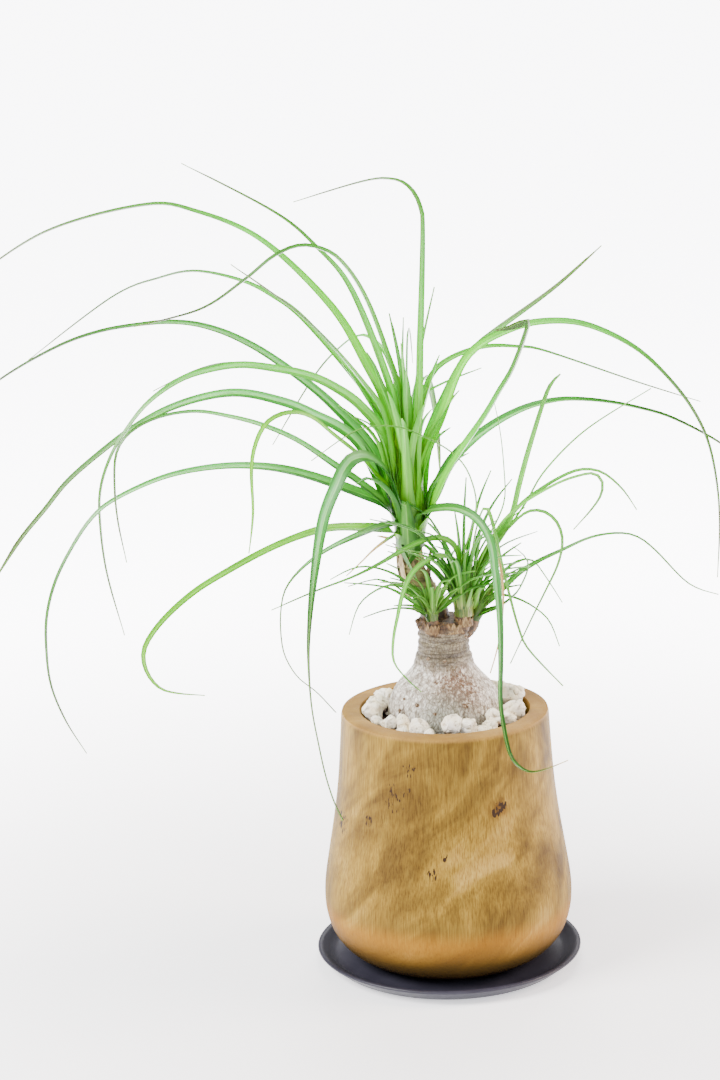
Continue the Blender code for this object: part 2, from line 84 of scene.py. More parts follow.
def add_node(tree, kind, settings=None, inputs=None, stops=None):
    """Adds a node. An input is a plain value, or the socket that feeds it."""
    made = tree.nodes.new(kind)
    for name, value in (settings or {}).items():
        setattr(made, name, value)
    for name, value in (inputs or {}).items():
        if isinstance(value, bpy.types.NodeSocket):
            tree.links.new(value, made.inputs[name])
        else:
            made.inputs[name].default_value = value
    if stops:
        ramp = made.color_ramp
        ramp.elements[0].position = stops[0][0]
        ramp.elements[1].position = stops[-1][0]
        for place, colour in stops[1:-1]:
            ramp.elements.new(place)
        for element, (place, colour) in zip(ramp.elements, stops):
            element.color = linear(colour)
    return made


# A Map Range with a soft start and end. A Mix node takes its share at socket 0 and its
# colours at 6 and 7, and gives the colour out at 2. Times a colour, it can only darken.
SOFT_EDGES = {"interpolation_type": "SMOOTHSTEP"}
BLEND = {"data_type": "RGBA"}
DARKEN = {"data_type": "RGBA", "blend_type": "MULTIPLY"}


def write_piece(name, bm, surface, node, sharp=35.0):
    """Writes a bmesh drawn in millimetres to a piece that stands for a node of the frame."""
    bmesh.ops.scale(bm, vec=(MM, MM, MM), verts=bm.verts)
    mesh = bpy.data.meshes.new(name)
    bm.to_mesh(mesh)
    bm.free()
    mesh.materials.append(surface)
    mesh.shade_smooth()
    mesh.set_sharp_from_angle(angle=math.radians(sharp))
    obj = bpy.data.objects.new(name, mesh)
    bpy.context.scene.collection.objects.link(obj)
    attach(obj, "root")
    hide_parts(node)
    mesh.calc_loop_triangles()
    print(f"{name}: {len(mesh.loop_triangles)} triangles")
    return obj


print("mid grey 808080 is", round(linear("808080")[0], 3), "in linear light")

# %% [markdown]
# ## Camera
#
# The photo was taken from a little above the pot with a long lens, so the pot's mouth shows
# as a flat oval and its sides lean together only slightly. The camera stands on a line that
# rises 22.55 degrees from the saucer, 2.43 m away, and looks a little past the plant. Its
# axes are worked out from three small angles, because a tilt and a roll are clearer as
# directions than as one set of Euler angles. All the numbers come from fitting the ovals of
# the saucer's lip and the pot's rim.

# %% Camera
DISTANCE = 2427.0
RISE = math.radians(22.55)
YAW = math.radians(-1.61)
PITCH = math.radians(14.66)
ROLL = math.radians(-1.50)

forward = Vector(
    (math.sin(YAW) * math.cos(PITCH), math.cos(YAW) * math.cos(PITCH), -math.sin(PITCH))
)
level = forward.cross(Vector((0, 0, 1))).normalized()
above_it = level.cross(forward)
camera_right = level * math.cos(ROLL) + above_it * math.sin(ROLL)
camera_up = above_it * math.cos(ROLL) - level * math.sin(ROLL)

camera_data = bpy.data.cameras.new("studio_camera")
camera_data.lens = 100.0
camera_data.sensor_width = 36.0
camera_data.clip_start = 0.1
camera_data.clip_end = 60.0
camera = bpy.data.objects.new("studio_camera", camera_data)
turned_to = Matrix((camera_right, camera_up, -forward)).transposed().to_4x4()
stand = Vector((0.0, -DISTANCE * math.cos(RISE), DISTANCE * math.sin(RISE))) * MM
camera.matrix_world = Matrix.Translation(stand) @ turned_to
bpy.context.scene.collection.objects.link(camera)
bpy.context.scene.camera = camera
print("camera at", [round(c, 3) for c in stand])

# %% [markdown]
# ## Stage and light
#
# The photo is a bright one: a near-white room with wide soft light from both sides and from
# above, so shadows are pale and the leaves glow where light comes through them. A plain
# pale floor runs far past the frame and is its own backdrop. A studio would curve it up and
# light it. Here it stays flat, and gives off a little light of its own that grows with the
# distance from the saucer, so that no horizon shows.

# %% Floor
floor_surface = bpy.data.materials.new("matt_pale_floor")
floor_surface.use_nodes = True
tree = floor_surface.node_tree
place = add_node(tree, "ShaderNodeTexCoord").outputs["Object"]
mottle = add_node(
    tree, "ShaderNodeTexNoise", inputs={"Vector": place, "Scale": 9.0, "Detail": 3.0}
)
tint = add_node(
    tree,
    "ShaderNodeValToRGB",
    inputs={"Fac": mottle.outputs["Fac"]},
    stops=[(0.3, "F1F0F4"), (0.7, "F5F4F7")],
)
# The glow is weakest round the saucer and in front of it, so that soft shadows still show
distance = add_node(
    tree, "ShaderNodeVectorMath", {"operation": "LENGTH"}, {0: place}
).outputs["Value"]
glow = add_node(
    tree,
    "ShaderNodeMapRange",
    SOFT_EDGES,
    {"Value": distance, "From Min": 0.10, "From Max": 1.2, "To Min": 1.3, "To Max": 8.8},
).outputs["Result"]
backward = add_node(tree, "ShaderNodeSeparateXYZ", inputs={"Vector": place}).outputs["Y"]
behind = add_node(
    tree,
    "ShaderNodeMapRange",
    SOFT_EDGES,
    {"Value": backward, "From Min": -1.0, "From Max": 0.5, "To Min": 0.25, "To Max": 1.0},
).outputs["Result"]
glow = add_node(
    tree, "ShaderNodeMath", {"operation": "MULTIPLY"}, {0: glow, 1: behind}
).outputs["Value"]
shader = tree.nodes["Principled BSDF"]
tree.links.new(tint.outputs["Color"], shader.inputs["Base Color"])
tree.links.new(glow, shader.inputs["Emission Strength"])
shader.inputs["Roughness"].default_value = 0.55
shader.inputs["Emission Color"].default_value = linear("F8F7FB")

# Half the floor's width in metres, and how far it lies under the saucer, because two faces
# in one plane would flicker
FLOOR_REACH = 16.0
FLOOR_GAP = 0.0002
bm = bmesh.new()
bmesh.ops.create_grid(bm, x_segments=4, y_segments=4, size=FLOOR_REACH)
bmesh.ops.translate(bm, vec=(0, 0, -FLOOR_GAP), verts=bm.verts)
floor_mesh = bpy.data.meshes.new("pale_floor")
bm.to_mesh(floor_mesh)
bm.free()
floor_mesh.materials.append(floor_surface)
floor = bpy.data.objects.new("pale_floor", floor_mesh)
bpy.context.scene.collection.objects.link(floor)
print("floor:", 2 * FLOOR_REACH, "m across")

# %% [markdown]
# A lamp's size decides how soft its shadow is, so all four are about a metre wide. The
# strongest stands at the upper left, as the window does in the photo, a warmer one on the
# right lifts that side, and weak ones behind and in front keep the leaves from going dark.
# A white world fills what they leave.

# %% Lights
# The middle of the plant in metres, which every lamp faces
LIT_POINT = Vector((0.0, 0.0, 0.25))
LIGHTS = [
    # name, place in metres, size in metres, power in watts, colour
    ("window_left", (-1.6, -0.8, 1.7), 1.1, 146.0, "FFFCF7"),
    ("wall_right", (1.8, 0.1, 1.2), 1.0, 72.0, "FFE9D6"),
    ("glow_behind", (0.2, 1.7, 1.9), 1.2, 50.0, "FFFFFF"),
    ("soft_front", (-0.4, -2.6, 2.0), 1.2, 34.0, "FFFFFF"),
]
for name, spot, size, power, colour in LIGHTS:
    lamp = bpy.data.lights.new(name, "AREA")
    lamp.size = size
    lamp.energy = power
    lamp.color = linear(colour)[:3]
    holder = bpy.data.objects.new(name, lamp)
    holder.location = spot
    aim = LIT_POINT - Vector(spot)
    holder.rotation_euler = aim.to_track_quat("-Z", "Y").to_euler()
    bpy.context.scene.collection.objects.link(holder)

world = bpy.data.worlds.new("white_room")
world.use_nodes = True
world.node_tree.nodes["Background"].inputs["Color"].default_value = linear("FCFCFF")
world.node_tree.nodes["Background"].inputs["Strength"].default_value = 0.65
bpy.context.scene.world = world
print("lights:", [row[0] for row in LIGHTS])

# %% [markdown]
# ## Curves and turned shapes
#
# Two shapes make up most of the object. One is the turned shape: an outline of radius and
# height, spun about the upright axis. The other is a strip or tube that follows a curved
# line. Both start from a few measured points, so the same small routine first lays a smooth
# curve through the points, and evenly spaced steps on it become the rows of the mesh.

# %% Smooth curves, turned shapes and tubes
# Fine steps between two given points, from which the even ones are picked
FINE_STEPS = 12


def smooth_path(points, count):
    """count + 1 evenly spaced points on a smooth curve through the given ones."""
    fine = []
    for i in range(len(points) - 1):
        before = points[max(i - 1, 0)]
        start = points[i]
        end = points[i + 1]
        after = points[min(i + 2, len(points) - 1)]
        for step in range(FINE_STEPS):
            t = step / FINE_STEPS
            pull = (end - before) * (t - 2 * t**2 + t**3) / 2
            push = (after - start) * (t**3 - t**2) / 2
            fine.append(start.lerp(end, 3 * t**2 - 2 * t**3) + pull + push)
    fine.append(points[-1])
    along = [0.0]
    for first, second in zip(fine, fine[1:]):
        along.append(along[-1] + (second - first).length)
    path = []
    near = 0
    for step in range(count + 1):
        wanted = along[-1] * step / count
        while near < len(fine) - 2 and along[near + 1] < wanted:
            near += 1
        share = (wanted - along[near]) / (along[near + 1] - along[near])
        path.append(fine[near].lerp(fine[near + 1], min(share, 1.0)))
    return path


def between(table, value):
    """Reads a table of (place, amount) rows, straight between its rows."""
    if value <= table[0][0]:
        return table[0][1]
    for (low, first), (high, second) in zip(table, table[1:]):
        if value <= high:
            return first + (second - first) * (value - low) / (high - low)
    return table[-1][1]


def spin_outline(outline, steps):
    """A solid turned about Z from (radius, height) points, ends on the axis."""
    bm = bmesh.new()
    corners = [bm.verts.new((radius, 0, height)) for radius, height in outline]
    for first, second in zip(corners, corners[1:]):
        bm.edges.new((first, second))
    bmesh.ops.spin(
        bm,
        geom=bm.verts[:] + bm.edges[:],
        cent=(0, 0, 0),
        axis=(0, 0, 1),
        angle=math.tau,
        steps=steps,
        use_merge=True,
    )
    bmesh.ops.remove_doubles(bm, verts=bm.verts, dist=0.01)
    bmesh.ops.recalc_face_normals(bm, faces=bm.faces)
    return bm


def add_tube(bm, points, radii, sides, count, ripple=0.0):
    """Rolls a grid up along the points inside bm, closes it, and returns its vertices."""
    path = smooth_path([Vector(p) for p in points], count)
    table = [(i / (len(radii) - 1), radius) for i, radius in enumerate(radii)]
    made = bmesh.ops.create_grid(bm, x_segments=sides, y_segments=count, size=0.5)["verts"]
    for vert in made:
        row = round((vert.co.y + 0.5) * count)
        angle = math.tau * vert.co.x
        ahead = path[min(row + 1, count)] - path[max(row - 1, 0)]
        swell = 1 + ripple * math.sin(2.4 * row) * math.cos(0.7 * row)
        radius = between(table, row / count) * swell
        lean = Vector((0, 0, 1)).rotation_difference(ahead.normalized())
        flat = Vector((math.cos(angle) * radius, math.sin(angle) * radius, 0))
        vert.co = path[row] + lean @ flat
    bmesh.ops.remove_doubles(bm, verts=made, dist=0.001)
    made = [vert for vert in made if vert.is_valid]
    rims = {edge for vert in made for edge in vert.link_edges if edge.is_boundary}
    bmesh.ops.holes_fill(bm, edges=list(rims), sides=0)
    skin = {face for vert in made for face in vert.link_faces}
    bmesh.ops.recalc_face_normals(bm, faces=list(skin))
    return made


print("helpers for curves, turned shapes and tubes are ready")

# %% [markdown]
# ## Saucer
#
# The saucer is finished in satin charcoal, a dark lacquer on a pressed dish. Its colour
# hardly varies, but its gloss does, because fingers and water dull it in patches. So one
# slow noise of 34 mm drives both the small change of colour and the larger one of
# roughness, and a fine one of 0.9 mm gives the grit of the paint.

# %% Saucer finish
charcoal = bpy.data.materials.new("satin_charcoal_lacquer")
# Lacquer on a pressed dish: near-black with a faint violet cast and a broad soft sheen
charcoal.use_nodes = True
tree = charcoal.node_tree
place = add_node(tree, "ShaderNodeTexCoord").outputs["Object"]
patches = add_node(
    tree, "ShaderNodeTexNoise", inputs={"Vector": place, "Scale": 1000 / 34, "Detail": 4.0}
).outputs["Fac"]
specks = add_node(
    tree, "ShaderNodeTexNoise", inputs={"Vector": place, "Scale": 1000 / 0.9, "Detail": 2.0}
)
tint = add_node(
    tree,
    "ShaderNodeValToRGB",
    inputs={"Fac": patches},
    stops=[(0.3, "26252F"), (0.55, "2E2D38"), (0.75, "383742")],
)
gloss = add_node(
    tree,
    "ShaderNodeMapRange",
    inputs={"Value": patches, "From Min": 0.3, "From Max": 0.7, "To Min": 0.30, "To Max": 0.44},
)
grit = add_node(
    tree,
    "ShaderNodeBump",
    inputs={"Strength": 0.12, "Distance": 0.0001, "Height": specks.outputs["Fac"]},
)
shader = tree.nodes["Principled BSDF"]
tree.links.new(tint.outputs["Color"], shader.inputs["Base Color"])
tree.links.new(gloss.outputs["Result"], shader.inputs["Roughness"])
tree.links.new(grit.outputs["Normal"], shader.inputs["Normal"])
shader.inputs["IOR"].default_value = 1.5
shader.inputs["Specular IOR Level"].default_value = 0.25
print("made", charcoal.name)

# %% [markdown]
# The dish is shallow, with a thin flared lip. On the real one a soft bright line runs round
# that lip, so the rounding there matters more than anything else and has the most points.
# It is one outline spun about the upright axis: out along the floor, over the lip, and back
# along the underside.

# %% Saucer
SAUCER_OUTLINE = [
    (0.0, 4.7),
    (30.0, 4.7),
    (60.0, 4.7),
    (86.5, 4.7),
    (89.5, 4.85),
    (92.2, 5.4),
    (96.6, 8.4),
    (100.4, 11.25),
    (101.3, 11.75),
    (102.4, 11.98),
    (103.6, 11.95),
    (104.5, 11.6),
    (104.95, 11.0),
    (104.9, 10.3),
    (104.2, 9.5),
    (99.0, 5.4),
    (94.6, 1.8),
    (92.8, 0.7),
    (90.6, 0.1),
    (88.6, 0.0),
    (60.0, 0.0),
    (0.0, 0.0),
]
bm = spin_outline(SAUCER_OUTLINE, 160)
write_piece("dark_saucer", bm, charcoal, "saucer", sharp=60.0)

# %% [markdown]
# ## Wooden pot
#
# The pot is turned from one block of pale tropical wood and waxed. Its wall leans in from a
# low shoulder to a thick flat rim, and the shoulder rolls under to a narrow foot. The grain
# stands upright all round, which is what makes a turned pot look cut from a log and not
# bent from a board. So the pattern is stretched along Z on Object coordinates, in four
# sizes: wide cloudy swirls that lean across the wall, streaks of a few millimetres, fine
# fibres, and short dark pores.

# %% Wood grain
wood = bpy.data.materials.new("waxed_turned_wood")
# Sanded and waxed hardwood: soft satin, tan to brown, darker pores and a few worm flecks
wood.use_nodes = True
tree = wood.node_tree
place = add_node(tree, "ShaderNodeTexCoord").outputs["Object"]
height = add_node(tree, "ShaderNodeSeparateXYZ", inputs={"Vector": place}).outputs["Z"]
upright = add_node(
    tree, "ShaderNodeMapping", inputs={"Vector": place, "Scale": (1, 1, 0.07)}
).outputs["Vector"]
leaning = add_node(
    tree,
    "ShaderNodeMapping",
    {"vector_type": "TEXTURE"},
    {"Vector": place, "Rotation": (0.2, 0.8, 0.0), "Scale": (1, 1, 2.6)},
).outputs["Vector"]
swirls = add_node(
    tree,
    "ShaderNodeTexNoise",
    inputs={
        "Vector": leaning,
        "Scale": 1000 / 38,
        "Detail": 5.0,
        "Roughness": 0.55,
        "Distortion": 0.7,
    },
).outputs["Fac"]
streaks = add_node(
    tree,
    "ShaderNodeTexNoise",
    inputs={"Vector": upright, "Scale": 1000 / 5.5, "Detail": 5.0, "Roughness": 0.62},
).outputs["Fac"]
fine_upright = add_node(
    tree, "ShaderNodeMapping", inputs={"Vector": place, "Scale": (1, 1, 0.03)}
).outputs["Vector"]
fibres = add_node(
    tree,
    "ShaderNodeTexNoise",
    inputs={"Vector": fine_upright, "Scale": 1000 / 0.9, "Detail": 3.0, "Roughness": 0.6},
).outputs["Fac"]
pore_cells = add_node(
    tree, "ShaderNodeTexVoronoi", inputs={"Vector": upright, "Scale": 1000 / 1.5}
).outputs["Distance"]
print("grain patterns made for", wood.name)

# %% [markdown]
# The swirls give the body its tan to brown. The streaks and fibres are tints from light
# brown to white and are multiplied over it, so that they can only darken it. The pores wait
# for the last step.

# %% Wood colours
body_tint = add_node(
    tree,
    "ShaderNodeValToRGB",
    inputs={"Fac": swirls},
    stops=[(0.34, "5E4818"), (0.45, "786022"), (0.55, "90762E"), (0.68, "AA8E48")],
).outputs["Color"]
streak_tint = add_node(
    tree,
    "ShaderNodeValToRGB",
    inputs={"Fac": streaks},
    stops=[(0.32, "C4AA7E"), (0.5, "EADFC8"), (0.66, "FFFFFF")],
).outputs["Color"]
fibre_tint = add_node(
    tree,
    "ShaderNodeValToRGB",
    inputs={"Fac": fibres},
    stops=[(0.34, "957B4C"), (0.52, "EADFCB"), (0.64, "FFFFFF")],
).outputs["Color"]
with_streaks = add_node(
    tree, "ShaderNodeMix", DARKEN, {0: 0.3, 6: body_tint, 7: streak_tint}
).outputs[2]
with_fibres = add_node(
    tree, "ShaderNodeMix", DARKEN, {0: 0.65, 6: with_streaks, 7: fibre_tint}
).outputs[2]
print("grain colours made")

# %% [markdown]
# The colour changes with height too. A warm golden band where the shoulder rolls under is a
# painted reflection of warm light from below. The foot under it is darkened to brown as
# painted shade where the pot stands in the saucer, and the flat rim has a plain tan of its
# own. Each is a soft mask on the height, and the two low ones are moved up and down by the
# swirls, so that neither edge is ruled.

# %% Wood colour by height, with painted reflection and painted shade
foot_edge = add_node(
    tree, "ShaderNodeMath", {"operation": "MULTIPLY_ADD"}, {0: swirls, 1: 0.010, 2: height}
).outputs["Value"]
# Painted reflection: the warm golden band where the shoulder rolls under
painted_light_band = add_node(
    tree,
    "ShaderNodeMapRange",
    SOFT_EDGES,
    {"Value": foot_edge, "From Min": 0.066, "From Max": 0.047, "To Max": 0.6},
).outputs["Result"]
# Painted shade: the foot is darkened where the pot stands in the saucer
foot = add_node(
    tree,
    "ShaderNodeMapRange",
    SOFT_EDGES,
    {"Value": foot_edge, "From Min": 0.056, "From Max": 0.026, "To Max": 0.95},
).outputs["Result"]
rim = add_node(
    tree,
    "ShaderNodeMapRange",
    SOFT_EDGES,
    {"Value": height, "From Min": 0.2035, "From Max": 0.2072, "To Max": 0.5},
).outputs["Result"]
# 9C660C is the gold of the painted reflection, and 3A2C12 the brown of the painted shade
with_painted_reflection = add_node(
    tree, "ShaderNodeMix", BLEND, {0: painted_light_band, 6: with_fibres, 7: linear("9C660C")}
).outputs[2]
with_painted_foot_shade = add_node(
    tree, "ShaderNodeMix", BLEND, {0: foot, 6: with_painted_reflection, 7: linear("3A2C12")}
).outputs[2]
with_rim = add_node(
    tree, "ShaderNodeMix", BLEND, {0: rim, 6: with_painted_foot_shade, 7: linear("A27C42")}
).outputs[2]
print("tinted by height: band, foot and rim")

# %% [markdown]
# Small dark flecks sit together where a beetle or a knot once was: a pair at the left edge,
# a loose group left of the middle, a knot on the right and two small groups low in the
# middle. The back isn't seen, so it has two more of the same kind. Each is a ball-shaped
# mask round a point on the wall that lifts a fine upright noise over a threshold, which
# breaks the mask into flecks.

# %% Worm flecks
FLECKS = [
    # a point on the wall and the reach of its flecks in metres, and the noise's threshold
    ((-0.0815, -0.035, 0.1255), 0.010, 0.60),
    ((-0.0600, -0.063, 0.1365), 0.005, 0.58),
    ((-0.0370, -0.076, 0.1600), 0.013, 0.68),
    ((-0.0430, -0.073, 0.1530), 0.007, 0.66),
    ((-0.0280, -0.077, 0.1820), 0.007, 0.66),
    ((0.0415, -0.074, 0.1510), 0.0056, 0.55),
    ((0.0370, -0.077, 0.1465), 0.004, 0.54),
    ((-0.0114, -0.091, 0.1026), 0.005, 0.60),
    ((-0.0013, -0.090, 0.1150), 0.004, 0.60),
    ((0.0520, 0.072, 0.1300), 0.014, 0.62),
    ((-0.0700, 0.052, 0.0950), 0.012, 0.63),
]
# How far the noise is lifted in the middle of a group, and how soft a fleck's edge is
FLECK_LIFT = 0.16
FLECK_EDGE = 0.05
short_upright = add_node(
    tree, "ShaderNodeMapping", inputs={"Vector": place, "Scale": (1, 1, 0.32)}
).outputs["Vector"]
broken = add_node(
    tree,
    "ShaderNodeTexNoise",
    inputs={"Vector": short_upright, "Scale": 1000 / 1.7, "Detail": 1.5},
).outputs["Fac"]
flecks = None
for centre, reach, threshold in FLECKS:
    away = add_node(
        tree, "ShaderNodeVectorMath", {"operation": "DISTANCE"}, {0: place, 1: centre}
    ).outputs["Value"]
    near = add_node(
        tree,
        "ShaderNodeMapRange",
        inputs={"Value": away, "From Max": reach, "To Min": FLECK_LIFT, "To Max": 0.0},
    ).outputs["Result"]
    raised = add_node(
        tree, "ShaderNodeMath", {"operation": "ADD"}, {0: broken, 1: near}
    ).outputs["Value"]
    shown = add_node(
        tree,
        "ShaderNodeMapRange",
        inputs={"Value": raised, "From Min": threshold, "From Max": threshold + FLECK_EDGE},
    ).outputs["Result"]
    within = add_node(
        tree, "ShaderNodeMath", {"operation": "LESS_THAN"}, {0: away, 1: reach}
    ).outputs["Value"]
    one = add_node(
        tree, "ShaderNodeMath", {"operation": "MULTIPLY"}, {0: shown, 1: within}
    ).outputs["Value"]
    if flecks is None:
        flecks = one
    else:
        flecks = add_node(
            tree, "ShaderNodeMath", {"operation": "MAXIMUM"}, {0: flecks, 1: one}
        ).outputs["Value"]
print("fleck groups:", len(FLECKS))

# %% [markdown]
# Last come the soft brown stain round the knot, the pores, the flecks and the wax. Pores
# and flecks are holes, so they are darker and also sink the bump. The streaks change the
# roughness a little, as wax does where it goes deeper into softer grain.

# %% Knot, pores and wax
KNOT = (0.0400, -0.0750, 0.1495)
knot_away = add_node(
    tree, "ShaderNodeVectorMath", {"operation": "DISTANCE"}, {0: place, 1: KNOT}
).outputs["Value"]
knot_away = add_node(
    tree, "ShaderNodeMath", {"operation": "MULTIPLY_ADD"}, {0: broken, 1: 0.010, 2: knot_away}
).outputs["Value"]
knot_stain = add_node(
    tree,
    "ShaderNodeMapRange",
    SOFT_EDGES,
    {"Value": knot_away, "From Min": 0.017, "From Max": 0.006, "To Max": 0.75},
).outputs["Result"]
pores = add_node(
    tree,
    "ShaderNodeMapRange",
    inputs={"Value": pore_cells, "From Min": 0.20, "From Max": 0.08, "To Max": 0.4},
).outputs["Result"]
with_pores = add_node(
    tree, "ShaderNodeMix", DARKEN, {0: pores, 6: with_rim, 7: linear("7A5524")}
).outputs[2]
with_stain = add_node(
    tree, "ShaderNodeMix", DARKEN, {0: knot_stain, 6: with_pores, 7: linear("A67C4A")}
).outputs[2]
with_flecks = add_node(
    tree, "ShaderNodeMix", BLEND, {0: flecks, 6: with_stain, 7: linear("2A1A0C")}
).outputs[2]
gloss = add_node(
    tree,
    "ShaderNodeMapRange",
    inputs={"Value": streaks, "From Min": 0.3, "From Max": 0.7, "To Min": 0.62, "To Max": 0.52},
).outputs["Result"]
relief = add_node(
    tree, "ShaderNodeMath", {"operation": "MULTIPLY_ADD"}, {0: pores, 1: -1.2, 2: fibres}
).outputs["Value"]
relief = add_node(
    tree, "ShaderNodeMath", {"operation": "MULTIPLY_ADD"}, {0: flecks, 1: -3.0, 2: relief}
).outputs["Value"]
grain = add_node(
    tree, "ShaderNodeBump", inputs={"Strength": 0.35, "Distance": 0.00025, "Height": relief}
)
shader = tree.nodes["Principled BSDF"]
tree.links.new(with_flecks, shader.inputs["Base Color"])
tree.links.new(gloss, shader.inputs["Roughness"])
tree.links.new(grain.outputs["Normal"], shader.inputs["Normal"])
shader.inputs["IOR"].default_value = 1.48
shader.inputs["Specular IOR Level"].default_value = 0.12
print("made", wood.name)

# %% [markdown]
# The pot is a thick-walled turned shape, so one outline of its whole section is spun. It
# runs from the floor up the inside, over the flat rim and down the outside to the foot,
# with the most points where the rim is rounded. The inside is plainer, because soil hides
# all but its edge.

# %% Pot
FLOOR_TOP = 21.0
FOOT = 5.0
POT_OUTSIDE = [
    (66.0, 205.0),
    (66.05, 206.4),
    (66.5, 207.3),
    (67.4, 207.8),
    (69.0, 208.0),
    (73.0, 208.0),
    (78.4, 207.85),
    (79.9, 207.4),
    (80.9, 206.4),
    (81.35, 204.6),
    (81.6, 201.0),
    (82.9, 180.0),
    (85.2, 150.0),
    (88.8, 122.0),
    (93.4, 94.0),
    (96.9, 72.0),
    (98.0, 57.0),
    (96.9, 43.0),
    (92.6, 29.0),
    (84.5, 17.5),
    (74.0, 9.8),
    (60.0, 5.0),
]
POT_INSIDE = [
    (58.0, 23.0),
    (75.0, 35.0),
    (82.0, 60.0),
    (77.0, 110.0),
    (69.0, 165.0),
    (66.0, 205.0),
]
outline = [Vector((0, FLOOR_TOP))]
outline += smooth_path([Vector(p) for p in POT_INSIDE], 22)[:-1]
outline += smooth_path([Vector(p) for p in POT_OUTSIDE], 84)
outline.append(Vector((0, FOOT)))
bm = spin_outline([tuple(p) for p in outline], 128)
write_piece("turned_wooden_pot", bm, wood, "pot", sharp=50.0)

# %% [markdown]
# ## Soil
#
# Dark potting soil shows only in the gaps between the stones. It is damp peat and bark, so
# its brown is broken up by a noise of 2.2 mm, shifted a little from one crumb to the next,
# and it hardly shines at all.

# %% Soil finish
earth = bpy.data.materials.new("dark_potting_soil")
# Damp peat and bark: very dark brown, dull, with paler fibres and grit
earth.use_nodes = True
tree = earth.node_tree
place = add_node(tree, "ShaderNodeTexCoord").outputs["Object"]
crumb = add_node(
    tree, "ShaderNodeTexNoise", inputs={"Vector": place, "Scale": 1000 / 2.2, "Detail": 5.0}
).outputs["Fac"]
patch = add_node(tree, "ShaderNodeTexVoronoi", inputs={"Vector": place, "Scale": 1000 / 3.4})
tint = add_node(
    tree,
    "ShaderNodeValToRGB",
    inputs={"Fac": crumb},
    stops=[(0.3, "1F1712"), (0.5, "3B2C20"), (0.66, "5C4632"), (0.8, "8A7256")],
).outputs["Color"]
varied = add_node(
    tree,
    "ShaderNodeMix",
    {"data_type": "RGBA", "blend_type": "OVERLAY"},
    {0: 0.25, 6: tint, 7: patch.outputs["Color"]},
).outputs[2]
lumps = add_node(
    tree, "ShaderNodeBump", inputs={"Strength": 0.8, "Distance": 0.0008, "Height": crumb}
)
shader = tree.nodes["Principled BSDF"]
tree.links.new(varied, shader.inputs["Base Color"])
tree.links.new(lumps.outputs["Normal"], shader.inputs["Normal"])
shader.inputs["Roughness"].default_value = 0.92
print("made", earth.name)

# %% [markdown]
# The soil fills the pot, as the solid does. Its top is cut into rings, so that a little
# noise can lift it into crumbs, and three hundred loose grains with only twenty faces each
# are scattered on it.

# %% Soil and loose grains
SOIL_TOP = 196.0
GRAINS = 300
top_rings = [(radius, SOIL_TOP) for radius in (0, 20, 36, 42, 46, 50, 54, 58, 62, 65.5)]
bm = spin_outline(
    top_rings
    + [(68.6, 165.0), (76.6, 110.0), (81.6, 60.0), (74.6, 35.0), (57.6, 23.0), (0.0, 21.4)],
    96,
)
for vert in bm.verts:
    if vert.co.z > SOIL_TOP - 1 and 36 < vert.co.xy.length < 65:
        vert.co.z += 1.1 * noise.noise(vert.co * 0.35) - 0.5
pick = random.Random(31)
for index in range(GRAINS):
    angle = pick.uniform(0, math.tau)
    ring = pick.uniform(43.5, 64.0)
    size = pick.uniform(0.7, 2.0)
    spot = Vector((ring * math.cos(angle), ring * math.sin(angle), SOIL_TOP + 0.5 * size))
    turn = Matrix.Rotation(pick.uniform(0, math.tau), 4, "Z")
    shape = Matrix.Diagonal((size, size * pick.uniform(0.6, 1.0), size * 0.7, 1))
    bmesh.ops.create_icosphere(
        bm, subdivisions=1, radius=1.0, matrix=Matrix.Translation(spot) @ turn @ shape
    )
write_piece("dark_soil_and_grains", bm, earth, "soil")

# %% [markdown]
# ## Pumice
#
# The soil is dressed with pumice, a foam of volcanic glass: off-white, chalk-dull and full of
# pits about a millimetre wide, with brown dust in its hollows. The lumps carry a number of
# their own that says where a dent, a crack or the underside of a lump is, and there the
# colour turns brown: dust, and painted shade in the hollows and under each lump, so it isn't
# strewn at random. The pits are darkened a little too, which is painted shade.

# %% Pumice finish
pumice = bpy.data.materials.new("chalky_pumice")
# Volcanic glass foam: chalk-dull and off-white, pitted at about a millimetre
pumice.use_nodes = True
tree = pumice.node_tree
place = add_node(tree, "ShaderNodeTexCoord").outputs["Object"]
cloud = add_node(
    tree, "ShaderNodeTexNoise", inputs={"Vector": place, "Scale": 1000 / 9, "Detail": 6.0}
).outputs["Fac"]
stain = add_node(
    tree, "ShaderNodeTexNoise", inputs={"Vector": place, "Scale": 1000 / 5, "Detail": 4.0}
).outputs["Fac"]
pits = add_node(
    tree, "ShaderNodeTexVoronoi", inputs={"Vector": place, "Scale": 1000 / 1.3}
).outputs["Distance"]
tint = add_node(
    tree,
    "ShaderNodeValToRGB",
    inputs={"Fac": cloud},
    stops=[(0.32, "EBDDC0"), (0.5, "F8EFDB"), (0.68, "FFFBF2")],
).outputs["Color"]
stained = add_node(
    tree,
    "ShaderNodeMapRange",
    inputs={"Value": stain, "From Min": 0.60, "From Max": 0.72, "To Max": 0.6},
).outputs["Result"]
stained_and_shaded = add_node(
    tree, "ShaderNodeMix", BLEND, {0: stained, 6: tint, 7: linear("9C8461")}
).outputs[2]
# Painted shade and dust: dents, cracks and undersides turn brown
sunk = add_node(tree, "ShaderNodeAttribute", {"attribute_name": "hollow"}).outputs["Fac"]
sunk = add_node(
    tree, "ShaderNodeMath", {"operation": "MULTIPLY"}, {0: sunk, 1: 0.75}
).outputs["Value"]
stained_and_shaded = add_node(tree, "ShaderNodeMix", BLEND, {0: sunk, 6: stained_and_shaded, 7: linear("6E5838")}).outputs[2]
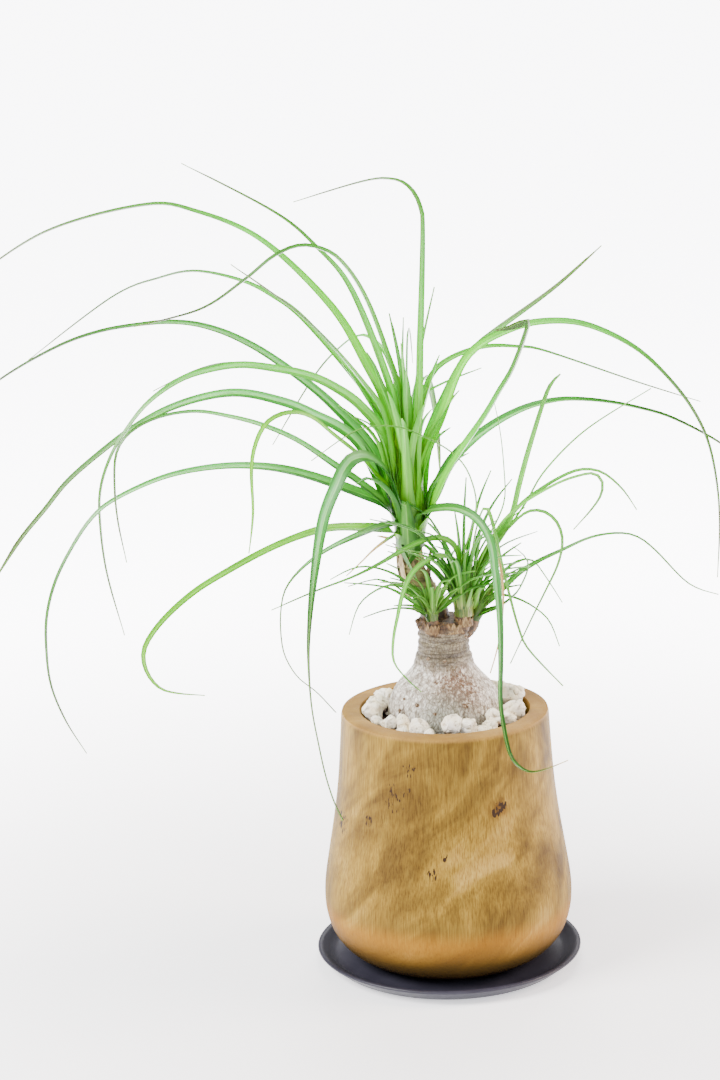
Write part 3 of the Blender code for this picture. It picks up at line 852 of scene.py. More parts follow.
# Painted shade: the pits are darkened a little
pit_mask = add_node(
    tree,
    "ShaderNodeMapRange",
    inputs={"Value": pits, "From Min": 0.05, "From Max": 0.32, "To Min": 0.35, "To Max": 0.0},
).outputs["Result"]
pitted = add_node(
    tree, "ShaderNodeMix", DARKEN, {0: pit_mask, 6: stained_and_shaded, 7: linear("BDB09A")}
).outputs[2]
relief = add_node(
    tree, "ShaderNodeMath", {"operation": "MULTIPLY_ADD"}, {0: cloud, 1: 1.5, 2: pits}
).outputs["Value"]
skin = add_node(
    tree, "ShaderNodeBump", inputs={"Strength": 0.55, "Distance": 0.0007, "Height": relief}
)
shader = tree.nodes["Principled BSDF"]
tree.links.new(pitted, shader.inputs["Base Color"])
tree.links.new(skin.outputs["Normal"], shader.inputs["Normal"])
shader.inputs["Roughness"].default_value = 0.9
print("made", pumice.name)

# %% [markdown]
# The lumps are 10 to 20 mm across. The front ones are where the photo shows them. The back
# isn't seen, so seven more are spread there by a rule, with a seeded chance for their size.

# %% Places of the stones
STONES = [
    # bearing, distance from the axis, height and radius
    (188, 56, 208, 10.5),
    (166, 54, 207, 8.0),
    (203, 58, 204, 5.5),
    (221, 57, 207, 7.5),
    (232, 52, 209, 6.5),
    (236, 59, 204, 5.5),
    (248, 55, 207, 8.5),
    (259, 59, 204, 5.0),
    (275, 54, 210, 9.0),
    (289, 55, 208, 7.5),
    (299, 59, 204, 5.5),
    (308, 55, 205, 6.0),
    (318, 53, 210, 8.0),
    (330, 57, 206, 6.5),
    (341, 57, 210, 8.5),
    (358, 57, 207, 7.5),
    (20, 56, 211, 9.5),
    (37, 54, 209, 9.0),
]
BACK_STONES = 7
chance = random.Random(7)
for index in range(BACK_STONES):
    bearing = 54 + 96 * (index + chance.uniform(-0.2, 0.2)) / (BACK_STONES - 1)
    size = chance.uniform(6.8, 8.8)
    STONES.append((bearing, 55.5, SOIL_TOP + 3 + 0.9 * size, size))
print("stones:", len(STONES))

# %% [markdown]
# A lump starts as a sphere of 1280 faces, pushed in and out by the same three slow waves as
# the solid, so that it keeps its place. Eleven random planes then press it into broken
# faces, and noise adds dents, knobs and cracks. A lump that would stand in the pot's wall is
# pressed flat against it, as a real one lies. Small crumbs of 80 faces fill the gaps.

# %% Stones and crumbs
# Just inside the pot's mouth, the flat faces of a stone, and the crumbs in all
MOUTH = 65.4
BROKEN_FACES = 11
CRUMBS = 46
bm = bmesh.new()
hollow = bm.verts.layers.float.new("hollow")
flats = random.Random(23)
for bearing, ring, height, size in STONES:
    angle = math.radians(bearing)
    centre = Vector((ring * math.cos(angle), ring * math.sin(angle), height))
    lump_verts = bmesh.ops.create_icosphere(bm, subdivisions=4, radius=1.0)["verts"]
    stretch = Vector([chance.uniform(0.9, 1.1) for axis in range(3)])
    phase = [chance.uniform(0, math.tau) for axis in range(3)]
    sides = []
    for index in range(BROKEN_FACES):
        sides.append(Vector([flats.gauss(0, 1) for axis in range(3)]).normalized())
    depths = [flats.uniform(0.66, 0.88) for side in sides]
    for vert in lump_verts:
        wave = sum(math.sin(3.1 * vert.co[axis] + phase[axis]) for axis in range(3))
        unit = vert.co * (1 + 0.06 * wave)
        for side, depth in zip(sides, depths):
            over = unit.dot(side) - depth
            if over > 0:
                unit -= side * (over * 0.95)
        point = unit * size
        dent = 0.11 * noise.noise(point * 0.22 + centre) + 0.06 * noise.noise(point * 0.75)
        knob = 0.13 * (0.42 - noise.voronoi(point * 0.24 + centre)[0][0])
        fold = abs(noise.noise(point * 0.16 - centre))
        crack = 0.15 * max(0.0, 1 - fold / 0.08)
        point *= 1.05 + dent + knob - crack
        # Painted shade and dust: the underside, the cracks and the dents are marked to turn brown
        low = max(0.0, min(1.0, (-0.2 - vert.co.z) / 0.4))
        vert[hollow] = max(0.0, min(1.0, low + 7 * crack - 9.0 * (dent + knob + 0.05)))
        point = centre + Vector([point[axis] * stretch[axis] for axis in range(3)])
        if point.xy.length > MOUTH:
            point.xy *= MOUTH / point.xy.length
        point.z = max(point.z, SOIL_TOP + 0.4)
        vert.co = point
pick = random.Random(12)
for index in range(CRUMBS):
    angle = pick.uniform(0, math.tau)
    ring = pick.uniform(45.0, 62.5)
    size = pick.uniform(1.2, 2.4)
    spot = Vector((ring * math.cos(angle), ring * math.sin(angle), SOIL_TOP + 0.8 * size))
    shape = Matrix.Diagonal((size, size * pick.uniform(0.7, 1.0), size * 0.8, 1))
    bmesh.ops.create_icosphere(
        bm, subdivisions=2, radius=1.0, matrix=Matrix.Translation(spot) @ shape
    )
bmesh.ops.recalc_face_normals(bm, faces=bm.faces)
write_piece("pumice_lumps", bm, pumice, "pumice_top_dressing", sharp=34.0)
print("crumbs:", CRUMBS)

# %% [markdown]
# ## Swollen stem
#
# The foot of the plant swells like an onion and narrows to a neck. Its corky skin is pale
# pinkish grey, crazed all over with fine upright cracks. The crazing is colour and bump,
# because it is half a millimetre wide. It is read from coordinates that a noise has
# shifted, so that no crack is straight.

# %% Corky bark finish
bark = bpy.data.materials.new("corky_crazed_bark")
# Cork over a water store: chalky and dull, cracked at 2 to 3 mm as the foot swells
bark.use_nodes = True
tree = bark.node_tree
place = add_node(tree, "ShaderNodeTexCoord").outputs["Object"]
height = add_node(tree, "ShaderNodeSeparateXYZ", inputs={"Vector": place}).outputs["Z"]
bent = add_node(
    tree, "ShaderNodeTexNoise", inputs={"Vector": place, "Scale": 1000 / 7, "Detail": 3.0}
)
shifted = add_node(
    tree,
    "ShaderNodeVectorMath",
    {"operation": "MULTIPLY_ADD"},
    {0: bent.outputs["Color"], 1: (0.004, 0.004, 0.004), 2: place},
).outputs["Vector"]
drawn_out = add_node(
    tree, "ShaderNodeMapping", inputs={"Vector": shifted, "Scale": (1, 1, 0.5)}
).outputs["Vector"]
cracks = add_node(
    tree,
    "ShaderNodeTexVoronoi",
    {"feature": "DISTANCE_TO_EDGE"},
    {"Vector": drawn_out, "Scale": 1000 / 2.3},
).outputs["Distance"]
mottle = add_node(
    tree,
    "ShaderNodeTexNoise",
    inputs={"Vector": drawn_out, "Scale": 1000 / 3.6, "Detail": 6.0, "Roughness": 0.65},
).outputs["Fac"]
cloud = add_node(
    tree, "ShaderNodeTexNoise", inputs={"Vector": place, "Scale": 1000 / 24, "Detail": 3.0}
).outputs["Fac"]
skin_tint = add_node(
    tree,
    "ShaderNodeValToRGB",
    inputs={"Fac": mottle},
    stops=[(0.34, "7F7265"), (0.44, "B0A599"), (0.52, "DCD6CC"), (0.62, "F6F3EE")],
).outputs["Color"]
print("bark mottling made")

# %% [markdown]
# A patch at the upper right is rust-brown and broken into flecks, and a grey-green one sits
# low in front. Each is a ball-shaped mask round a point, read from the shifted coordinates
# too, so that its edge wanders.

# %% Patches on the bark
# Their middles, in metres
RUST = (0.013, -0.033, 0.236)
MOSS = (0.002, -0.044, 0.208)
rust_away = add_node(
    tree, "ShaderNodeVectorMath", {"operation": "DISTANCE"}, {0: shifted, 1: RUST}
).outputs["Value"]
rust = add_node(
    tree,
    "ShaderNodeMapRange",
    SOFT_EDGES,
    {"Value": rust_away, "From Min": 0.042, "From Max": 0.008, "To Max": 1.0},
).outputs["Result"]
flecked = add_node(
    tree,
    "ShaderNodeTexNoise",
    inputs={"Vector": drawn_out, "Scale": 1000 / 2.0, "Detail": 2.0, "Distortion": 0.8},
).outputs["Fac"]
rust_broken = add_node(
    tree, "ShaderNodeMath", {"operation": "MULTIPLY_ADD"}, {0: rust, 1: 0.42, 2: flecked}
).outputs["Value"]
rust_shown = add_node(
    tree,
    "ShaderNodeMapRange",
    inputs={"Value": rust_broken, "From Min": 0.84, "From Max": 0.93, "To Max": 0.85},
).outputs["Result"]
rust_wash = add_node(
    tree, "ShaderNodeMath", {"operation": "MULTIPLY"}, {0: rust, 1: 0.45}
).outputs["Value"]
washed = add_node(
    tree, "ShaderNodeMix", DARKEN, {0: rust_wash, 6: skin_tint, 7: linear("C09468")}
).outputs[2]
with_rust = add_node(
    tree, "ShaderNodeMix", BLEND, {0: rust_shown, 6: washed, 7: linear("66401F")}
).outputs[2]
moss_away = add_node(
    tree, "ShaderNodeVectorMath", {"operation": "DISTANCE"}, {0: shifted, 1: MOSS}
).outputs["Value"]
moss = add_node(
    tree,
    "ShaderNodeMapRange",
    SOFT_EDGES,
    {"Value": moss_away, "From Min": 0.040, "From Max": 0.006, "To Max": 0.7},
).outputs["Result"]
with_moss = add_node(
    tree, "ShaderNodeMix", BLEND, {0: moss, 6: with_rust, 7: linear("858C7E")}
).outputs[2]
print("bark patches made")

# %% [markdown]
# The neck takes over from the cork between about 238 and 252 mm. It is olive-brown and
# ringed by old leaf scars. Its rings come from a noise that is squeezed flat, so it changes
# quickly with height and slowly round the stem, the opposite of the wood's grain. Above
# about 270 mm the skin turns to dark reddish fibre.

# %% Neck colours
flat = add_node(
    tree, "ShaderNodeMapping", inputs={"Vector": shifted, "Scale": (0.10, 0.10, 1)}
).outputs["Vector"]
rings = add_node(
    tree,
    "ShaderNodeTexNoise",
    inputs={"Vector": flat, "Scale": 1000 / 3.0, "Detail": 4.0, "Roughness": 0.7},
).outputs["Fac"]
neck_tint = add_node(
    tree,
    "ShaderNodeValToRGB",
    inputs={"Fac": rings},
    stops=[(0.32, "3B2F1B"), (0.44, "5C4E33"), (0.58, "7C7054"), (0.72, "A2977C")],
).outputs["Color"]
fibre_tint = add_node(
    tree,
    "ShaderNodeValToRGB",
    inputs={"Fac": mottle},
    stops=[(0.34, "30190A"), (0.5, "543616"), (0.66, "80623A")],
).outputs["Color"]
wander = add_node(
    tree, "ShaderNodeMath", {"operation": "MULTIPLY_ADD"}, {0: cloud, 1: 0.016, 2: height}
).outputs["Value"]
neck = add_node(
    tree,
    "ShaderNodeMapRange",
    SOFT_EDGES,
    {"Value": wander, "From Min": 0.246, "From Max": 0.260, "To Max": 0.9},
).outputs["Result"]
fibrous = add_node(
    tree,
    "ShaderNodeMapRange",
    SOFT_EDGES,
    {"Value": wander, "From Min": 0.274, "From Max": 0.284, "To Max": 0.9},
).outputs["Result"]
with_neck = add_node(
    tree, "ShaderNodeMix", BLEND, {0: neck, 6: with_moss, 7: neck_tint}
).outputs[2]
with_fibre = add_node(
    tree, "ShaderNodeMix", BLEND, {0: fibrous, 6: with_neck, 7: fibre_tint}
).outputs[2]
print("neck colours made")

# %% [markdown]
# The neck also has a darker line every few millimetres, a sine of the height that the noise
# of the rings moves, so that no line is level. The crazing comes last. Lines and cracks are
# grooves, so they are darker and also sink the bump.

# %% Ring lines and crazing
# Metres from one dark ring line to the next
RING_STEP = 0.0029
ring_phase = add_node(
    tree, "ShaderNodeMath", {"operation": "MULTIPLY_ADD"}, {0: rings, 1: 0.006, 2: height}
).outputs["Value"]
ring_phase = add_node(
    tree, "ShaderNodeMath", {"operation": "MULTIPLY"}, {0: ring_phase, 1: math.tau / RING_STEP}
).outputs["Value"]
ring_wave = add_node(
    tree, "ShaderNodeMath", {"operation": "SINE"}, {0: ring_phase}
).outputs["Value"]
ring_line = add_node(
    tree,
    "ShaderNodeMapRange",
    inputs={"Value": ring_wave, "From Min": 0.5, "From Max": 1.0, "To Max": 0.6},
).outputs["Result"]
ring_line = add_node(
    tree, "ShaderNodeMath", {"operation": "MULTIPLY"}, {0: ring_line, 1: neck}
).outputs["Value"]
with_lines = add_node(
    tree, "ShaderNodeMix", DARKEN, {0: ring_line, 6: with_fibre, 7: linear("6A5A42")}
).outputs[2]
crazing = add_node(
    tree,
    "ShaderNodeMapRange",
    inputs={"Value": cracks, "From Min": 0.18, "From Max": 0.03, "To Max": 0.6},
).outputs["Result"]
with_cracks = add_node(
    tree, "ShaderNodeMix", DARKEN, {0: crazing, 6: with_lines, 7: linear("8A7A6A")}
).outputs[2]
relief = add_node(
    tree, "ShaderNodeMath", {"operation": "MULTIPLY_ADD"}, {0: crazing, 1: -1.0, 2: mottle}
).outputs["Value"]
relief = add_node(
    tree, "ShaderNodeMath", {"operation": "MULTIPLY_ADD"}, {0: ring_line, 1: -1.2, 2: relief}
).outputs["Value"]
skin = add_node(
    tree, "ShaderNodeBump", inputs={"Strength": 0.8, "Distance": 0.0008, "Height": relief}
)
shader = tree.nodes["Principled BSDF"]
tree.links.new(with_cracks, shader.inputs["Base Color"])
tree.links.new(skin.outputs["Normal"], shader.inputs["Normal"])
shader.inputs["Roughness"].default_value = 0.62
print("made", bark.name)

# %% [markdown]
# The stem is one outline spun in 120 steps, and goes down into the soil to a rounded foot.
# A spun shape is perfectly round and smooth, so each point is then moved in or out. The
# rings of the neck are real ridges, because they break the outline. The foot gets slow
# lumps and is a little out of round, and the top of the neck gets a torn edge.

# %% Swollen stem
# Millimetres from one ridge of the neck to the next
RIDGE_STEP = 5.8
STEM_OUTLINE = [
    (18.0, 280.6),
    (20.2, 276.0),
    (19.4, 271.5),
    (20.0, 267.5),
    (19.3, 264.5),
    (20.6, 260.5),
    (20.3, 257.0),
    (22.4, 250.0),
    (24.6, 242.0),
    (30.0, 234.5),
    (36.5, 227.0),
    (41.0, 218.5),
    (43.3, 208.0),
    (42.8, 196.0),
    (38.0, 182.0),
    (26.0, 170.0),
]


def stem_swell(angle, height):
    """The foot is a little out of round, most of all where it is fattest."""
    share = max(0.0, min(1.0, (252 - height) / 40))
    return 1 + share * (0.035 * math.cos(2 * angle + 0.4) + 0.02 * math.cos(3 * angle - 1.1))


outline = [Vector((0, 281.0))]
outline += smooth_path([Vector(p) for p in STEM_OUTLINE], 110)
outline.append(Vector((0, 165.0)))
bm = spin_outline([tuple(p) for p in outline], 120)
for vert in bm.verts:
    height = vert.co.z
    radius = vert.co.xy.length
    if radius < 1:
        continue
    angle = math.atan2(vert.co.y, vert.co.x)
    ringed = max(0.0, min(1.0, (height - 238) / 14))
    wobble = noise.noise(Vector((math.cos(angle) * 2, math.sin(angle) * 2, height * 0.02)))
    ridge = math.sin(math.tau * height / RIDGE_STEP + 2.4 * wobble)
    lump = noise.noise(vert.co * 0.09)
    fine = noise.noise(vert.co * 0.5)
    torn = noise.noise(vert.co * Vector((0.4, 0.4, 0.12)))
    torn *= max(0.0, min(1.0, (height - 270) / 5))
    push = ringed * 0.45 * ridge + 0.5 * lump + 0.22 * fine + 2.2 * torn - 0.35
    grow = stem_swell(angle, height) * (radius + push) / radius
    vert.co.x *= grow
    vert.co.y *= grow
write_piece("swollen_stem", bm, bark, "caudex", sharp=60.0)
print("stem rings:", len(outline))

# %% [markdown]
# Old roots and buds leave small nubs on the foot and round scars on the neck. They are cut
# and dried root ends: dark red-brown and rough, and paler where their tops are worn.

# %% Root nub finish
root_end = bpy.data.materials.new("dry_root_nub")
# Cut and dried root ends: dark red-brown, rough, with a paler worn top
root_end.use_nodes = True
tree = root_end.node_tree
place = add_node(tree, "ShaderNodeTexCoord").outputs["Object"]
speck = add_node(
    tree, "ShaderNodeTexNoise", inputs={"Vector": place, "Scale": 1000 / 1.1, "Detail": 4.0}
).outputs["Fac"]
tint = add_node(
    tree,
    "ShaderNodeValToRGB",
    inputs={"Fac": speck},
    stops=[(0.35, "3A2A1A"), (0.5, "6E573F"), (0.68, "B5A48C")],
).outputs["Color"]
skin = add_node(
    tree, "ShaderNodeBump", inputs={"Strength": 0.6, "Distance": 0.0004, "Height": speck}
)
shader = tree.nodes["Principled BSDF"]
tree.links.new(tint, shader.inputs["Base Color"])
tree.links.new(skin.outputs["Normal"], shader.inputs["Normal"])
shader.inputs["Roughness"].default_value = 0.8
print("made", root_end.name)

# %% [markdown]
# Each nub is a small sphere sunk halfway in the skin, at the place where the photo shows
# it. It is wider than it is tall, turned so that its top faces out, and roughened by noise.
# Two more sit at the back.

# %% Nubs and scars on the stem
NUBS = [
    # place on the skin, radius and height of the nub
    ((-21.2, -33.6, 220.1), 1.9, 1.3),
    ((15.9, -36.8, 220.0), 2.4, 1.9),
    ((-7.6, -40.7, 215.2), 1.5, 1.0),
    ((-31.5, -23.1, 222.1), 1.3, 0.9),
    ((-35.2, -23.0, 212.7), 1.7, 1.0),
    ((-4.3, -18.9, 272.5), 2.0, 0.9),
    ((17.5, -9.4, 267.2), 1.7, 0.9),
    ((-19.4, 0.5, 276.6), 1.8, 1.4),
    ((-12.3, -17.7, 252.5), 1.9, 0.6),
    ((0.8, -21.7, 251.5), 1.6, 0.6),
    ((30.0, 28.0, 216.0), 2.0, 1.3),
    ((-12.0, 38.5, 222.0), 1.8, 1.2),
]
bm = bmesh.new()
for spot, wide, tall in NUBS:
    spot = Vector(spot)
    out = Vector((spot.x, spot.y, 0)).normalized()
    turn = Vector((0, 0, 1)).rotation_difference(out).to_matrix().to_4x4()
    shape = Matrix.Diagonal((wide, wide * 0.8, tall, 1))
    matrix = Matrix.Translation(spot) @ turn @ shape
    nub = bmesh.ops.create_icosphere(bm, subdivisions=3, radius=1.0, matrix=matrix)["verts"]
    for vert in nub:
        vert.co += (vert.co - spot) * 0.35 * noise.noise(vert.co * 1.1)
write_piece("root_nubs", bm, root_end, "caudex", sharp=60.0)
print("nubs:", len(NUBS))

# %% [markdown]
# ## Branches
#
# From the top of the foot one branch leans left and carries the tall head, and three stubs
# carry the small ones. Their skin is young: tan-green, ringed where leaves have fallen off.
# Below about 300 mm it is older, dark reddish brown and flaking. The rings are a noise
# squeezed flat, as on the neck.

# %% Young stem finish
young_skin = bpy.data.materials.new("ringed_young_stem")
# Green-tan skin that is not yet cork: satin, with brown rings 2 to 4 mm apart
young_skin.use_nodes = True
tree = young_skin.node_tree
place = add_node(tree, "ShaderNodeTexCoord").outputs["Object"]
flat = add_node(
    tree, "ShaderNodeMapping", inputs={"Vector": place, "Scale": (0.12, 0.12, 1)}
).outputs["Vector"]
rings = add_node(
    tree,
    "ShaderNodeTexNoise",
    inputs={"Vector": flat, "Scale": 1000 / 3.0, "Detail": 4.0, "Roughness": 0.65},
).outputs["Fac"]
spots = add_node(
    tree, "ShaderNodeTexNoise", inputs={"Vector": place, "Scale": 1000 / 4, "Detail": 5.0}
).outputs["Fac"]
ring_tint = add_node(
    tree,
    "ShaderNodeValToRGB",
    inputs={"Fac": rings},
    stops=[(0.34, "5E5032"), (0.48, "7F7648"), (0.6, "98925F"), (0.72, "B8B080")],
).outputs["Color"]
spot_tint = add_node(
    tree,
    "ShaderNodeValToRGB",
    inputs={"Fac": spots},
    stops=[(0.35, "A98D78"), (0.55, "E6DCC8"), (0.7, "FFFFFF")],
).outputs["Color"]
mixed = add_node(tree, "ShaderNodeMix", DARKEN, {0: 0.7, 6: ring_tint, 7: spot_tint}).outputs[2]
height = add_node(tree, "ShaderNodeSeparateXYZ", inputs={"Vector": place}).outputs["Z"]
old = add_node(
    tree,
    "ShaderNodeMapRange",
    SOFT_EDGES,
    {"Value": height, "From Min": 0.306, "From Max": 0.290, "To Max": 0.95},
).outputs["Result"]
old_tint = add_node(
    tree,
    "ShaderNodeValToRGB",
    inputs={"Fac": spots},
    stops=[(0.36, "22140A"), (0.5, "422A14"), (0.64, "6E5030")],
).outputs["Color"]
mixed = add_node(tree, "ShaderNodeMix", BLEND, {0: old, 6: mixed, 7: old_tint}).outputs[2]
skin = add_node(
    tree, "ShaderNodeBump", inputs={"Strength": 0.6, "Distance": 0.0006, "Height": rings}
)
shader = tree.nodes["Principled BSDF"]
tree.links.new(mixed, shader.inputs["Base Color"])
tree.links.new(skin.outputs["Normal"], shader.inputs["Normal"])
shader.inputs["Roughness"].default_value = 0.6
print("made", young_skin.name)

# %% [markdown]
# Each branch is a grid rolled up along its line into a closed tube, with a slight ripple
# from ring to ring. A curve with a bevel could do the same, but a grid gives the rings at
# even steps. The last and smallest one is a dry bud that carries nothing. The four points
# named here are where the heads of leaves start.

# %% Branches
CROWN = Vector((-24.0, 0.0, 340.0))
FRONT_SHOOT = Vector((16.0, -9.0, 286.0))
RIGHT_SHOOT = Vector((23.5, 2.0, 279.0))
RIGHT_LEAN = Vector((0.5, 0.0, 0.866))
LEFT_SHOOT = Vector((-8.0, -15.5, 284.0))
UPWARD = Vector((0, 0, 1))
BRANCHES = [
    # line, radii and number of sides
    (
        [(-4, 3, 268), (-9, 3, 292), (-21, 1, 316), CROWN - UPWARD * 9, CROWN],
        [12.0, 11.0, 9.8, 9.0, 8.6],
        40,
    ),
    ([(7, -3, 268), (14, -8, 277), FRONT_SHOOT], [7.0, 7.2, 5.8], 28),
    ([(9, 1, 264), RIGHT_SHOOT - RIGHT_LEAN * 7, RIGHT_SHOOT], [7.0, 7.4, 5.6], 28),
    ([(-4, -8, 266), (-7.5, -14.5, 277), LEFT_SHOOT], [5.5, 6.2, 4.0], 24),
    ([(-14, -2, 272), (-21, -3, 280)], [4.0, 1.6], 18),
]
bm = bmesh.new()
for line, radii, sides in BRANCHES:
    add_tube(bm, line, radii, sides, 14 * (len(line) - 1), ripple=0.05)
bmesh.ops.recalc_face_normals(bm, faces=bm.faces)
write_piece("ringed_branches", bm, young_skin, "caudex", sharp=60.0)

# %% [markdown]
# ## Leaves
#
# A strap leaf starts as a wide sheath wrapped round its column, rises, arches and ends in a
# thread. It stays near one upright plane, so a bearing and a curve of reach and height tell
# its whole course. The rows were read off the photo leaf by leaf, and those that point away
# from the camera are guesses. The solids were built from the same rows, so that the two
# stay together.

# %% Leaf tables
# Each row holds a leaf's bearing from above, with 0 to the right and 90 to the back, its
# width, and its midrib as (reach, height) from the crown.
MAIN_LEAVES = [
    (172, 9.0, [(0, 30), (14, 100), (34, 146), (60, 188), (110, 236), (160, 258), (200, 263),
                (280, 242), (350, 198)]),
    (155, 6.5, [(0, 30), (9, 95), (17, 130), (46, 197), (75, 228), (110, 253), (190, 288)]),
    (192, 8.5, [(0, 30), (5, 105), (18, 157), (33, 198), (50, 224), (66, 234), (82, 236),
                (100, 229), (122, 213), (156, 193), (207, 183)]),
    (148, 7.0, [(0, 30), (-7, 90), (-12, 165), (-16, 245), (-14, 264), (-5, 277), (10, 282),
                (36, 279), (100, 260)]),
    (205, 7.5, [(0, 30), (19, 98), (38, 132), (82, 184), (140, 231)]),
    (163, 6.5, [(0, 30), (10, 80), (28, 113), (80, 171), (108, 191), (134, 202), (170, 208),
                (200, 202), (240, 186), (315, 133)]),
    (186, 9.0, [(0, 15), (11, 44), (24, 69), (60, 114), (100, 148), (128, 166), (152, 176),
                (173, 180), (195, 180), (230, 176), (265, 165), (310, 141), (345, 112)]),
    (200, 8.0, [(0, 25), (20, 84), (38, 112), (59, 129), (80, 140), (105, 147), (132, 152),
                (158, 150), (180, 144), (203, 130), (220, 112), (233, 93), (242, 70),
                (244, 45), (241, 5), (230, -46)]),
    (176, 3.0, [(0, 40), (19, 84), (36, 109), (60, 126), (76, 134), (100, 140), (135, 144),
                (163, 138), (196, 122)]),
    (194, 8.0, [(0, 15), (8, 36), (38, 81), (76, 109), (103, 121), (130, 128), (155, 127),
                (183, 120), (209, 108), (235, 91), (262, 70), (280, 50), (300, 28), (322, -2)]),
    (206, 7.0, [(0, 15), (21, 35), (42, 54), (64, 71), (92, 92), (120, 107), (147, 117),
                (174, 124), (202, 123), (224, 115), (236, 101), (239, 78), (238, 50), (233, 17)]),
    (212, 6.0, [(0, 20), (14, 42), (30, 59), (43, 75), (66, 95), (83, 110), (99, 117),
                (115, 116), (126, 109), (134, 94), (137, 76), (137, 45), (142, 15)]),
    (202, 8.0, [(0, 12), (20, 33), (41, 45), (90, 66), (127, 75), (163, 77), (198, 73),
                (234, 61), (252, 49), (268, 29), (282, 5), (290, -20), (292, -45), (290, -75),
                (280, -105), (266, -132)]),
    (216, 7.0, [(0, 8), (20, 15), (47, 21), (76, 25), (104, 23), (134, 17), (165, 8),
                (196, -3), (222, -18), (238, -33), (242, -45), (238, -59), (228, -71),
                (212, -78), (191, -84)]),
    (226, 11.0, [(0, 15), (9, 28), (19, 50), (29, 66), (41, 75), (52, 78), (62, 77), (70, 71),
                 (77, 62), (92, 37), (104, -8), (111, -50), (112, -80), (110, -108),
                 (104, -138), (98, -163), (90, -186), (81, -204)]),
    (222, 5.0, [(0, 18), (12, 20), (30, 20), (48, 18), (82, 12), (107, 3), (125, -10),
                (131, -28), (131, -50), (127, -65), (116, -82), (98, -98), (80, -118)]),
    (311, 9.0, [(-8, 14), (0, 20), (13, 27), (40, 36), (61, 38), (79, 33), (92, 20), (97, -3),
                (101, -39), (101, -75), (100, -102), (104, -125), (112, -146), (128, -153),
                (146, -148), (174, -133)]),
    (50, 7.0, [(0, 25), (14, 63), (28, 88), (44, 108), (64, 129), (86, 142), (115, 152),
               (186, 174), (247, 199)]),
    (352, 8.0, [(0, 30), (12, 70), (25, 98), (41, 138), (56, 156), (79, 168), (101, 174),
                (128, 174), (153, 166), (177, 152), (198, 132), (215, 110), (227, 86),
                (234, 56), (237, 22), (236, -22)]),
    (14, 5.0, [(0, 30), (7, 88), (12, 115), (21, 134), (33, 143), (50, 149), (67, 151),
               (87, 149), (110, 144), (186, 114), (235, 96)]),
    (330, 8.0, [(0, 10), (18, 25), (38, 64), (67, 104), (81, 126), (94, 147), (107, 180),
                (104, 184), (90, 178), (78, 174)]),
    (356, 8.0, [(0, 15), (11, 28), (21, 43), (33, 66), (50, 83), (70, 97), (91, 107),
                (111, 112), (128, 113), (152, 111), (177, 106), (202, 98), (237, 79), (262, 58)]),
    (60, 3.5, [(0, 30), (8, 90), (13, 120), (25, 156), (44, 194)]),
    (135, 4.0, [(0, 30), (10, 112), (20, 142), (30, 153), (42, 158), (53, 157), (69, 149),
                (102, 121), (156, 56)]),
    (30, 5.0, [(0, 30), (4, 90), (12, 113), (29, 122), (66, 131)]),
    (190, 3.0, [(0, 7), (12, 9), (28, -2), (39, -12), (51, -22)]),
    (170, 6.0, [(0, 8), (8, 5), (16, 4), (26, 6)]),
    (80, 8.0, [(0, 25), (12, 72), (32, 104), (64, 118), (98, 104), (126, 66), (138, 20)]),
    (100, 7.0, [(0, 20), (20, 58), (52, 84), (88, 84), (120, 58), (138, 14)]),
    (88, 7.0, [(0, 25), (6, 90), (18, 130), (44, 156), (84, 150), (112, 120)]),
    (125, 7.0, [(0, 30), (4, 90), (10, 140), (22, 178)]),
    (20, 6.0, [(0, 30), (-2, 80), (-3, 130), (-2, 178)]),
    (250, 6.0, [(0, 30), (2, 80), (5, 124), (11, 160)]),
]

FRONT_LEAVES = [
    (203, 2.6, [(0, 20), (-6, 60), (-12, 85), (-8, 106), (0, 121), (13, 133), (31, 144),
                (50, 153), (71, 156), (91, 152), (122, 135)]),
    (330, 3.2, [(0, 20), (15, 50), (30, 75), (38, 95), (38, 117), (35, 147), (29, 174)]),
    (340, 5.0, [(0, 20), (22, 50), (40, 78), (48, 107), (56, 135), (71, 180), (80, 193)]),
    (345, 2.2, [(0, 20), (30, 60), (50, 90), (66, 117), (98, 150), (147, 183)]),
    (352, 4.0, [(0, 20), (25, 60), (44, 86), (61, 100), (75, 109), (88, 115), (100, 116),
                (111, 112), (124, 100), (134, 85)]),
    (326, 4.0, [(0, 20), (28, 65), (50, 90), (85, 113), (108, 123), (119, 125), (125, 120),
                (124, 110), (116, 98), (100, 80)]),
    (335, 3.0, [(0, 20), (25, 55), (43, 76), (53, 85), (62, 88), (72, 86), (80, 78), (83, 65),
                (79, 47), (68, 24), (57, 2), (39, -36)]),
    (318, 3.0, [(0, 20), (12, 60), (20, 84), (26, 88), (32, 74), (38, 52), (45, 29), (56, -2),
                (66, -17), (99, -39)]),
    (225, 4.5, [(0, 20), (6, 40), (14, 48), (26, 51), (41, 50), (56, 43), (65, 30), (71, 13),
                (76, -4), (76, -21), (63, -38), (48, -52)]),
    (200, 5.0, [(0, 20), (4, 48), (12, 60), (25, 63), (44, 58), (68, 47), (90, 39), (118, 32),
                (155, 21)]),
    (305, 2.4, [(0, 20), (16, 58), (32, 70), (46, 56), (52, 30), (49, 0), (42, -22), (34, -40)]),
]

